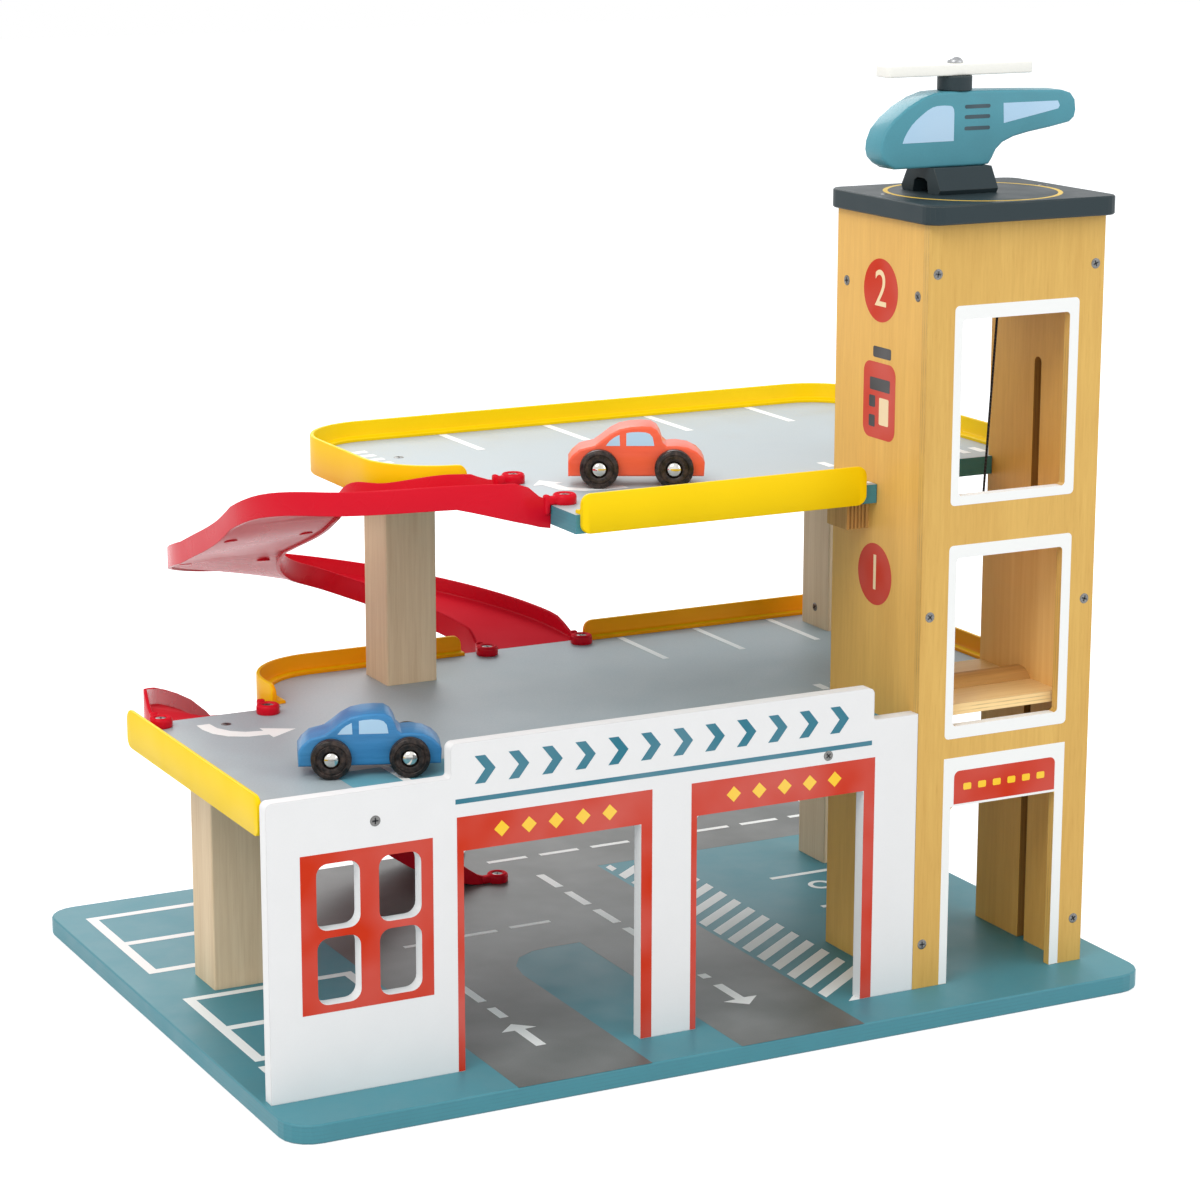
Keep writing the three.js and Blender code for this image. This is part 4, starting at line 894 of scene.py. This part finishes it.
# The ramps.
# Two red channels of glossy moulded plastic. Each hangs on a deck edge by a skirt and two round
# pads with a screw in them, and its walls sink to the pads at both ends.
red_gloss = plastic("red_gloss", colour(208, 12, 36), 0.28, 0.14, radius=0.7, bump=0.02, scuffed=0.62)
UPPER_FALL_SHARES = [0, -0.008, 0.03, 0.077, 0.252, 0.386, 0.515, 0.631, 0.717, 0.809, 0.894, 0.96, 1]
LOWER_FALL_SHARES = [0, 0.065, 0.15, 0.27, 0.475, 0.67, 0.83, 0.935, 1]
HALF = 36.25
WALL_HALF = 1.25
WALL_LOW, WALL_RISE = 2.6, 8.4
SKIRT_THIN, SKIRT_DROP = 4, 10.5
SKIRT_HELD, SKIRT_FADE = 48, 31


def fall(shares, at):
    """The share of the drop at a share of the run, on a smooth curve through the given shares."""
    last = len(shares) - 1
    spot = min(max(at, 0), 1) * last
    i = min(int(spot), last - 1)
    t = spot - i
    p0, p1, p2, p3 = (shares[min(max(k, 0), last)] for k in (i - 1, i, i + 1, i + 2))
    m1, m2 = (p2 - p0) / 2, (p3 - p1) / 2
    value = (2 * t ** 3 - 3 * t ** 2 + 1) * p1 + (t ** 3 - 2 * t ** 2 + t) * m1
    value += (3 * t ** 2 - 2 * t ** 3) * p2 + (t ** 3 - t ** 2) * m2
    return value


def ease(value, full):
    """0 to 1 while value goes from 0 to full, slow at both ends."""
    t = min(max(value / full, 0), 1)
    return t * t * (3 - 2 * t)


def channel(name, start, legs, high, low, shares, lands_on_base, bank, bank_run):
    """A ramp from high to low; bank is how far its right wall dips, which fades after bank_run."""
    stops = plan(start, legs)
    total = stops[-1][3]
    stations = []
    for x, y, heading, run in stops:
        z = high - (high - low) * fall(shares, run / total)
        wall = WALL_LOW + WALL_RISE * min(ease(run, 22), ease(total - run, 25))
        hung = min(max((SKIRT_HELD - run) / SKIRT_FADE, 0), 1)
        if not lands_on_base:
            hung = max(hung, min(max((SKIRT_HELD - total + run) / SKIRT_FADE, 0), 1))
        skirt = SKIRT_THIN + SKIRT_DROP * hung
        if lands_on_base:
            skirt = min(skirt, z - BASE_TOP)
        stations.append({
            "x": x, "y": y, "z": z, "side": (sin(heading), -cos(heading)), "wall": wall,
            "skirt": max(skirt, 2.51), "bank": bank * ease(run, 20) * (1 - ease(run - bank_run, 60)),
        })

    def section(at):
        out, inn, wall, skirt = HALF + WALL_HALF, HALF - WALL_HALF, at["wall"], at["skirt"]
        half = [(inn, -skirt), (out, -skirt), (out, wall - 0.8), (out - 0.3, wall - 0.2),
                (HALF, wall), (inn + 0.3, wall - 0.2), (inn, wall - 0.8), (inn, 1.5), (inn - 0.45, 0.45),
                (inn - 1.5, 0)]
        other = [(-x, z) for x, z in reversed(half)]
        level = half + other + [(-inn, -2.5), (inn, -2.5)]
        return [(x, z - at["bank"] * x / HALF) for x, z in level]

    piece = carry(name.replace("ramp", "channel"), stations, section, red_gloss, 50)
    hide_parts(name)
    return stations


upper_stations = channel(
    "ramp_upper", (-70.2, -57.6, left),
    [("line", 14.6), ("bend", 103.2, -90), ("line", 92.0), ("bend", 106.2, -180), ("line", 7.4)],
    DECK_TWO, DECK_ONE, UPPER_FALL_SHARES, False, 3.6, 110)
lower_stations = channel(
    "ramp_lower", (-239.6, 54.2, up),
    [("bend", 66, -40), ("bend", 225.569, -50), ("line", 46.363)],
    DECK_ONE, 14.503, LOWER_FALL_SHARES, True, 8.5, 80)


def spun(shape, profile, steps, place=(0, 0, 0), axis="Z"):
    """Spins a profile of (radius, height) about an axis and closes it; returns its vertices."""
    verts = [shape.verts.new((radius, 0, height)) for radius, height in profile]
    edges = [shape.edges.new((verts[k], verts[k + 1])) for k in range(len(verts) - 1)]
    if profile[0][0] > 0:
        edges.append(shape.edges.new((verts[-1], verts[0])))
    old = set(shape.verts) - set(verts)
    bmesh.ops.spin(shape, geom=verts + edges, cent=(0, 0, 0), axis=(0, 0, 1), angle=tau, steps=steps,
                   use_merge=True)
    made = [vert for vert in shape.verts if vert not in old]
    bmesh.ops.remove_doubles(shape, verts=made, dist=0.001)
    made = [vert for vert in shape.verts if vert not in old]
    turn = {"X": Matrix.Rotation(pi / 2, 3, "Y"), "Y": Matrix.Rotation(-pi / 2, 3, "X"),
            "Z": Matrix.Identity(3)}[axis]
    bmesh.ops.rotate(shape, cent=(0, 0, 0), matrix=turn, verts=made)
    bmesh.ops.translate(shape, vec=place, verts=made)
    return made


def rounded_bar(shape, x0, x1, y0, y1, z0, z1, radius):
    """A bar with all its edges rounded; returns its vertices."""
    old = set(shape.verts)
    bar = bmesh.ops.create_cube(shape, size=1)["verts"]
    bmesh.ops.scale(shape, vec=(x1 - x0, y1 - y0, z1 - z0), verts=bar)
    bmesh.ops.translate(shape, vec=((x0 + x1) / 2, (y0 + y1) / 2, (z0 + z1) / 2), verts=bar)
    edges = list({edge for vert in bar for edge in vert.link_edges})
    bmesh.ops.bevel(shape, geom=edges, offset=radius, offset_type="OFFSET", segments=3, profile=0.5,
                    affect="EDGES", material=-1)
    return [vert for vert in shape.verts if vert not in old]


PAD = [(0, 0), (7.1, 0), (7.5, 0.5), (7.5, 4.6), (7.1, 5.7), (6.2, 6.4), (5.4, 6.5), (4.6, 6.2),
       (4.2, 5.4), (0, 5.4)]
BOSS = [(0, -2.9), (3.9, -2.9), (4.4, -2.6), (4.4, -1.6), (0, -1.6)]
shape = bmesh.new()
pads = []
for x, y, z, angle in (
    (-60, -57.6 - HALF, DECK_TWO, pi), (-60, -57.6 + HALF, DECK_TWO, pi),
    (24.4 - HALF, 120, DECK_ONE, pi / 2), (24.4 + HALF, 120, DECK_ONE, pi / 2),
    (-239.6 - HALF, 44, DECK_ONE, pi / 2), (-239.6 + HALF, 44, DECK_ONE, pi / 2),
    (5, 177.2 - HALF, BASE_TOP, pi), (5, 177.2 + HALF, BASE_TOP, pi),
):
    pads.append((x, y, z + 5.4))
    spun(shape, PAD, 36, (x, y, z))
    arm = rounded_bar(shape, 0, 12.6, -2.9, 2.9, 0.05, 5.2, 1.3)
    if z != BASE_TOP:
        arm += rounded_bar(shape, 10.3, 14.2, -2.7, 2.7, -6, 6.4, 1.5)
    bmesh.ops.rotate(shape, cent=(0, 0, 0), matrix=Matrix.Rotation(angle, 3, "Z"), verts=arm)
    bmesh.ops.translate(shape, vec=(x, y, z), verts=arm)
# the bars behind each deck edge that the skirts are moulded to
for x0, x1, y0, y1, deck in ((-72.7, -70.2, -95, -20.2, DECK_TWO), (-13, 61.8, 130.2, 132.7, DECK_ONE),
                             (-277, -202.2, 54.2, 56.7, DECK_ONE)):
    rounded_bar(shape, x0, x1, y0, y1, deck - 14.3, deck - 1.5, 0.5)
# the bosses under the floor, square to its slope
for stations, shares in ((upper_stations, (0.2, 0.34, 0.5, 0.66, 0.8)),
                         (lower_stations, (0.25, 0.5, 0.75))):
    for share in shares:
        i = round(share * (len(stations) - 1))
        before, spot, after = (Vector((at["x"], at["y"], at["z"])) for at in stations[i - 1:i + 2])
        outward = Vector((*stations[i]["side"], -stations[i]["bank"] / HALF))
        normal = outward.cross(after - before).normalized()
        turn = Vector((0, 0, 1)).rotation_difference(normal).to_matrix()
        for out in (-26, 26):
            made = spun(shape, BOSS, 24)
            bmesh.ops.rotate(shape, cent=(0, 0, 0), matrix=turn, verts=made)
            bmesh.ops.translate(shape, vec=spot + outward * out, verts=made)
bmesh.ops.recalc_face_normals(shape, faces=shape.faces)
finish_piece(shape, "ramp_pads", red_gloss, "garage", 40)

# The winding gear and the lift car.
# A red wooden hand wheel and a spool on a plated rod; the lift car is birch plywood on a black
# twisted cord, with a half round wheel stop and a dowel at each side that runs in the groove.
red_paint = paint("red_wheel_paint", colour(206, 62, 40), mottle=0.05, wear=0.3, radius=1.0, coat=0.2)


def hazed(name, light, dark, scale, detail=3.0, harsh=0.5, low=0.3, gloss=None, bump=None, **bare):
    """Metal or rubber whose colour drifts with one noise; gloss is its range of roughness.

    bump is (strength, depth in millimetres), and bare goes to bare_material.
    """
    material, tree, skin = bare_material(name, **bare)
    haze = noise(tree, object_place(tree), scale, detail, harsh)
    toned = blend_colours(tree, spread(tree, haze, low, 0.7), light, dark)
    tree.links.new(toned, skin.inputs["Base Color"])
    if gloss is not None:
        tree.links.new(spread(tree, haze, 0.3, 0.7, *gloss), skin.inputs["Roughness"])
    if bump is not None:
        add_bump(tree, skin, haze, bump[0], bump[1] * MM)
    return material


steel = hazed("plated_steel", colour(196, 197, 198), colour(164, 166, 170), 420.0, gloss=(0.24, 0.42),
              bump=(0.06, 0.05), roughness=0.3, metallic=1.0)
cord_fibre, cord_tree, cord_skin = bare_material("black_cord", roughness=0.8)
cord_wave = cord_tree.nodes.new("ShaderNodeTexWave")
cord_wave.wave_type = "BANDS"
cord_wave.bands_direction = "DIAGONAL"
cord_wave.inputs["Scale"].default_value = 260.0
cord_tree.links.new(object_place(cord_tree), cord_wave.inputs["Vector"])
cord_tone = blend_colours(cord_tree, cord_wave.outputs["Fac"], colour(18, 18, 20), colour(58, 58, 62))
cord_tree.links.new(cord_tone, cord_skin.inputs["Base Color"])
add_bump(cord_tree, cord_skin, cord_wave.outputs["Fac"], 0.6, 0.2 * MM)

# the lift's birch is written lighter than the tower's: painted light, for the light that falls into the
# lift through its window and open back
birch_level_painted_light = wood("birch_level_painted_light", colour(252, 220, 160), colour(226, 180, 114), (16, 330, 330),
                   contrast=0.5, roughness=0.48, ply_axis="Z")
birch_wall_painted_light = wood("birch_wall_painted_light", colour(248, 206, 132), colour(220, 164, 88), (330, 330, 10),
                  contrast=0.5, roughness=0.48, ply_axis="X")
for node, material in (
    ("lift_floor", birch_level_painted_light), ("lift_roof", birch_level_painted_light), ("lift_wall_left", birch_wall_painted_light),
    ("lift_wall_right", birch_wall_painted_light), ("lift_wheel_stop", pine_across), ("lift_pin_left", pine_across),
    ("lift_pin_right", pine_across), ("cord_turns", cord_fibre), ("winder_axle", steel),
    ("winder_spool", beech),
):
    dress(node, material)
CORD_TOP, CORD_FOOT = Vector((225, -139.5, 457)), Vector((215.8, -139.5, 300))
CORD_RADIUS = 0.8
cord_run = CORD_TOP - CORD_FOOT
shape = bmesh.new()
bmesh.ops.create_cone(shape, cap_ends=True, segments=16, radius1=CORD_RADIUS, radius2=CORD_RADIUS,
                      depth=cord_run.z)
lean = Matrix(((1, 0, cord_run.x / cord_run.z), (0, 1, 0), (0, 0, 1)))
bmesh.ops.transform(shape, matrix=lean.to_4x4(), verts=shape.verts)
bmesh.ops.translate(shape, vec=(CORD_TOP + CORD_FOOT) / 2, verts=shape.verts)
bmesh.ops.recalc_face_normals(shape, faces=shape.faces)
hanging_cord = finish_piece(shape, "hanging_cord", cord_fibre, None, 40)
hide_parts("lift_cord")
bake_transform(hanging_cord)


def turned_piece(name, profile, place, material, body, axis="Z", steps=48, stand=None, smooth=40):
    """A piece turned on a lathe, spun about its axis and then moved by stand, if there is one."""
    shape = bmesh.new()
    spun(shape, profile, steps, place, axis)
    bmesh.ops.recalc_face_normals(shape, faces=shape.faces)
    if stand is not None:
        bmesh.ops.transform(shape, matrix=stand, verts=shape.verts)
    return finish_piece(shape, name, material, body, smooth)


WHEEL = [(0, 284.2), (3.2, 284.2), (3.2, 274), (7.4, 274), (8, 274.6), (8, 284), (18.6, 284),
         (19.6, 284.4), (20, 285.4), (20, 292.6), (19.6, 293.6), (18.6, 294), (6.2, 294), (5.2, 293.4),
         (0, 293.4)]
wheel = turned_piece("hand_wheel", WHEEL, (0, -129.5, 457), red_paint, "winder", "X", 64)
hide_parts("winder_wheel")

# The helicopter.
# A 20 mm slab of wood cut to shape and painted, on a notched foot block, with a turned mast and an
# off-white rotor on a dome head screw. Its panes and slots are printed on both sides.
HELI_SHARES = [
    [0.008, 0.15], [0.034, 0.068], [0.072, 0], [0.524, 0], [0.551, 0.012], [0.569, 0.092],
    [0.587, 0.199], [0.62, 0.291], [0.677, 0.363], [0.752, 0.412], [0.867, 0.466], [0.967, 0.524],
    [0.993, 0.59], [1, 0.688], [0.994, 0.827], [0.97, 0.919], [0.926, 0.962], [0.784, 0.978],
    [0.555, 0.996], [0.345, 1], [0.27, 0.988], [0.204, 0.925], [0.132, 0.81], [0.067, 0.662],
    [0.023, 0.515], [0.003, 0.363], [0, 0.248],
]
HELI_LEFT, HELI_LOW, HELI_LONG, HELI_HIGH, HELI_THICK = 140.3, 530, 145, 46.6, 20
HELI_Y = -121
MAST_SPOT = (199.4, HELI_Y, 0)
ROTOR_LOW, ROTOR_THICK = 586.2, 7.3


def board(shape, points, thick, rounding):
    """A level board of the outline, standing on Z = 0, with both its rims rounded."""
    edges = lay_outline(shape, points)
    face = shape.faces.new([edge.verts[0] for edge in edges])
    grown = bmesh.ops.extrude_face_region(shape, geom=[face], use_keep_orig=True)
    tops = [item for item in grown["geom"] if isinstance(item, bmesh.types.BMVert)]
    bmesh.ops.translate(shape, vec=(0, 0, thick), verts=tops)
    bmesh.ops.recalc_face_normals(shape, faces=shape.faces)
    rims = [edge for edge in shape.edges if abs(edge.verts[0].co.z - edge.verts[1].co.z) < 0.01]
    bmesh.ops.bevel(shape, geom=rims, offset=rounding, offset_type="OFFSET", segments=4, profile=0.5,
                    affect="EDGES", clamp_overlap=True, material=-1)


def slab(shape, points, thick, rounding):
    """A board of the outline, X and Z, stood upright and centred on Y = 0."""
    board(shape, points, thick, rounding)
    bmesh.ops.transform(shape, matrix=Matrix.Translation((0, thick / 2, 0)) @ UPRIGHT, verts=shape.verts)


def heli_spots(points):
    """Places on the body, X and Z, from shares of its length and height."""
    return [(HELI_LEFT + along * HELI_LONG, HELI_LOW + rise * HELI_HIGH) for along, rise in points]


heli_paint = paint("helicopter_paint", colour(78, 144, 158), mottle=0.09, wear=0.25, radius=0.6,
                   coat=0.15)
cream_paint = paint("cream_paint", colour(240, 238, 230), mottle=0.03, wear=0.1, radius=0.8)
shape = bmesh.new()
slab(shape, heli_spots(HELI_SHARES), HELI_THICK, 1.6)
bmesh.ops.translate(shape, vec=(0, HELI_Y, 0), verts=shape.verts)
heli_skin = finish_piece(shape, "heli_slab", heli_paint, "helicopter", 35)
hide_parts("heli_body")
dress("heli_foot", charcoal_paint)
shape = bmesh.new()
board(shape, oblong(145.4, -129, 253.4, -113, 3), ROTOR_THICK, 1.0)
bmesh.ops.translate(shape, vec=(0, 0, ROTOR_LOW), verts=shape.verts)
rotor_bar = finish_piece(shape, "rotor_bar", cream_paint, "rotor", 35)
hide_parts("rotor_blade")
MAST = [(0, 576.6), (10.4, 576.6), (11, 577.2), (11, 585.4), (10.4, 586.1), (0, 586.1)]
mast = turned_piece("heli_mast_turned", MAST, MAST_SPOT, charcoal_paint, "helicopter")
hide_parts("heli_mast")
SCREW_DOME = [(0, 593.6), (4.9, 593.6), (5, 594.1), (4.6, 595.3), (3.6, 596.4), (2.2, 597), (1.2, 597.2),
              (0.9, 596.4), (0, 596.3)]
rotor_cap = turned_piece("rotor_cap", SCREW_DOME, MAST_SPOT, steel, "rotor", steps=32)
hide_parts("rotor_screw")

sky_ink = ink("sky_ink", colour(176, 208, 232), roughness=0.4)
slot_ink = ink("slot_ink", colour(46, 72, 82), roughness=0.4)
nose_pane = [[0.106, 0.34], [0.115, 0.414], [0.131, 0.496], [0.151, 0.577], [0.175, 0.645],
             [0.201, 0.705], [0.229, 0.764], [0.253, 0.8], [0.276, 0.817], [0.313, 0.821],
             [0.344, 0.813], [0.355, 0.8], [0.362, 0.767], [0.365, 0.708], [0.365, 0.344]]
tail_pane = [[0.617, 0.821], [0.901, 0.821], [0.911, 0.756], [0.903, 0.714], [0.621, 0.551]]
panes = [[heli_spots(pane)] for pane in (nose_pane, tail_pane)]
slots = [[oblong(201, z - 1.2, 220, z + 1.2, 1.15, 4)] for z in (566.9, 560.5, 553.4)]
for side, y in (("near", HELI_Y - HELI_THICK / 2), ("far", HELI_Y + HELI_THICK / 2 + 2 * FILM)):
    for part, groups, film_ink in (("panes", panes, sky_ink), ("slots", slots, slot_ink)):
        print_on(f"heli_{part}_{side}", groups, Matrix.Translation((0, y, 0)) @ UPRIGHT, film_ink,
                 "helicopter")

# The toy cars.
# Each is a slab of solid wood with rounded rims, stained so that the grain shows, with printed
# windows. Black moulded tyres turn on steel axles with polished domed caps.
CAR_SHARES = [
    [0, 0], [0.995, 0], [1, 0.276], [0.983, 0.368], [0.942, 0.483], [0.875, 0.575],
    [0.792, 0.609], [0.721, 0.598], [0.692, 0.667], [0.675, 0.805], [0.65, 0.92], [0.608, 0.989],
    [0.542, 1], [0.458, 0.989], [0.375, 0.943], [0.308, 0.851], [0.242, 0.713], [0.188, 0.609],
    [0.083, 0.54], [0.029, 0.414], [0, 0.299],
]
REAR_WINDOW = [[0.275, 0.615], [0.304, 0.713], [0.335, 0.78], [0.375, 0.835], [0.379, 0.615]]
FRONT_WINDOW = [[0.425, 0.615], [0.425, 0.868], [0.46, 0.885], [0.512, 0.892], [0.565, 0.882],
                [0.596, 0.852], [0.618, 0.78], [0.629, 0.615]]
tyre_black = hazed("tyre_black", colour(26, 22, 21), colour(74, 60, 54), 260.0, 4.0, 0.7, 0.42,
                   gloss=(0.28, 0.44), bump=(0.35, 0.2), roughness=0.34, coat=0.2)
chrome = hazed("polished_cap", colour(238, 236, 230), colour(214, 212, 206), 300.0, 2.0,
               gloss=(0.05, 0.14), roughness=0.08, metallic=1.0)


def stain(name, light, dark, turn):
    """Transparent stain on wood; turn lays the grain, 40 by 420 fibres a metre, along the car."""
    material = wood(name, light, dark, (40, 420, 420), contrast=0.45, roughness=0.4, coat=0.25)
    for node in material.node_tree.nodes:
        if node.type == "MAPPING":
            node.vector_type = "TEXTURE"
            node.inputs["Scale"].default_value = (1 / 40, 1 / 420, 1 / 420)
            node.inputs["Rotation"].default_value = (0, 0, radians(turn))
    return material


TYRE = [
    (1.9, 14.1), (8.2, 14.1), (11.3, 14.3), (12, 14.8), (12.28, 15.6), (12.28, 17), (11.8, 17.2),
    (11.8, 17.9), (12.28, 18.1), (12.28, 19.5), (12.1, 20.2), (11.4, 20.8), (9.6, 21.1), (9.2, 20.7),
    (8.9, 20.7), (8.5, 21.1), (6.4, 21.1), (5.5, 20.6), (5.3, 18.4), (1.9, 18.4),
]
CAP = [(0, 22.1), (1.6, 22), (3, 21.6), (4.1, 20.9), (4.8, 20), (5.05, 19.2), (5.05, 18.6), (1.5, 18.6)]
AXLE = CAP + [(1.5, -18.6)] + [(radius, -y) for radius, y in reversed(CAP)][1:]
AXLE_HIGH, AXLE_ALONG = 12.4, 23.5
CAR_LONG, CAR_LOW, CAR_HIGH, CAR_THICK = 86, 6.7, 32, 27


def car_spots(points):
    """Places on a car's side, along and up, from shares of its length and height."""
    return [((along - 0.5) * CAR_LONG, CAR_LOW + rise * CAR_HIGH) for along, rise in points]


def car(name, place, turn, skin_material):
    """A car made about its own centre and stood at its place, turned by degrees."""
    stand = Matrix.Translation(place) @ Matrix.Rotation(radians(turn), 4, "Z")
    shape = bmesh.new()
    slab(shape, car_spots(CAR_SHARES), CAR_THICK, 1.7)
    bmesh.ops.transform(shape, matrix=stand, verts=shape.verts)
    body = finish_piece(shape, f"{name}_slab", skin_material, name, 38)
    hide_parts(f"{name}_body")
    shape = bmesh.new()
    for y in (-CAR_THICK / 2, CAR_THICK / 2 + FILM):
        made = []
        for window in (REAR_WINDOW, FRONT_WINDOW):
            made += film(shape, [car_spots(window)], FILM)
        bmesh.ops.transform(shape, matrix=Matrix.Translation((0, y, 0)) @ UPRIGHT, verts=made)
    bmesh.ops.recalc_face_normals(shape, faces=shape.faces)
    bmesh.ops.transform(shape, matrix=stand, verts=shape.verts)
    finish_piece(shape, f"{name}_windows", sky_ink, name)
    for end, x in (("rear", -AXLE_ALONG), ("front", AXLE_ALONG)):
        wheels, hub = f"{name}_{end}_wheels", (x, 0, AXLE_HIGH)
        axle = turned_piece(f"{name}_caps_{end}", AXLE, hub, chrome, wheels, "Y", 40,
                            stand, 50)
        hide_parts(f"{name}_axle_{end}")
        for hand, side in (("near", -1), ("far", 1)):
            profile = [(radius, y * side) for radius, y in TYRE]
            tyre = turned_piece(f"{name}_wheel_{end}_{hand}", profile, hub, tyre_black, wheels,
                                "Y", 72, stand)
            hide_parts(f"{name}_tyre_{end}_{hand}")


car("blue_car", (-198.3, -107, DECK_ONE), -21.1,
    stain("blue_stain", colour(64, 138, 190), colour(22, 88, 140), -21.1))
car("coral_car", (9.2, -57, DECK_TWO), -26.8,
    stain("coral_stain", colour(240, 100, 66), colour(222, 76, 46), -26.8))

# The screws.
# Countersunk cross head wood screws with dull zinc plating, flush with the boards, and wider ones in
# the ramp pads. Each head is one spun dish; its pressed cross is a dark cross laid on it, painted shade.
recess_shade_ink = ink("recess_painted_shade", colour(40, 40, 42), roughness=0.6)
zinc = hazed("dull_zinc", colour(142, 141, 138), colour(104, 104, 104), 900.0, bump=(0.1, 0.05),
             roughness=0.4, metallic=1.0)
CROSS_LONG, CROSS_WIDE = 0.6, 0.15


def screw_heads(name, places):
    """places are (point, outward direction, radius); the cross is sized by shares of the radius."""
    heads, crosses = bmesh.new(), bmesh.new()
    for n, (point, outward, radius) in enumerate(places):
        turn = Vector((0, 0, 1)).rotation_difference(Vector(outward)).to_matrix().to_4x4()
        stand = Matrix.Translation(point) @ turn @ Matrix.Rotation(n * 0.7, 4, "Z")
        made = spun(heads, [(0, -0.6), (radius, -0.6), (radius, 0.1), (radius * 0.94, 0.22),
                            (radius * 0.6, 0.3), (0, 0.3)], 24)
        bmesh.ops.transform(heads, matrix=stand, verts=made)
        # painted shade: the cross recess is a dark bar laid on the head
        for angle in (0, pi / 2):
            arm = rounded_bar(crosses, -radius * CROSS_LONG, radius * CROSS_LONG, -radius * CROSS_WIDE,
                              radius * CROSS_WIDE, 0.0, 0.36, 0.05)
            bmesh.ops.rotate(crosses, cent=(0, 0, 0), matrix=Matrix.Rotation(angle, 3, "Z"), verts=arm)
            bmesh.ops.transform(crosses, matrix=stand, verts=arm)
    bmesh.ops.recalc_face_normals(heads, faces=heads.faces)
    bmesh.ops.recalc_face_normals(crosses, faces=crosses.faces)
    finish_piece(heads, f"{name}_heads", zinc, "garage", 40)
    finish_piece(crosses, f"{name}_crosses", recess_shade_ink, "garage", 40)


facing_front, facing_left, facing_right, facing_up = (0, -1, 0), (-1, 0, 0), (1, 0, 0), (0, 0, 1)
HEAD_RADIUS, PAD_HEAD_RADIUS = 3.3, 3.6
RIGHT = 273.7
tower_spots = [((x, FRONT, z), facing_front) for x in (150.4, 267.1) for z in (41.4, 256.1, 471.2)]
tower_spots += [((LEFT, y, 456.5), facing_left) for y in (-171.2, -87.8)]
tower_spots += [((RIGHT, y, 456.5), facing_right) for y in (-171.2, -87.8)]
tower_spots += [((x, -122, ROOF), facing_up) for x in (150, 268)]
screw_heads("tower_screws", [(*spot, HEAD_RADIUS) for spot in tower_spots])
screw_heads("front_screws", [((x, FRONT, 175.7), facing_front, HEAD_RADIUS) for x in (-227.9, 78.2)])
deck_spots = ((-237, 31, DECK_ONE), (249, 90, DECK_TWO), (-89.5, 90, DECK_TWO))
post_screw = ((231, 90, 197), facing_left, 3)
screw_heads("deck_screws", [(spot, facing_up, HEAD_RADIUS) for spot in deck_spots] + [post_screw])
screw_heads("ramp_screws", [(point, facing_up, PAD_HEAD_RADIUS) for point in pads])
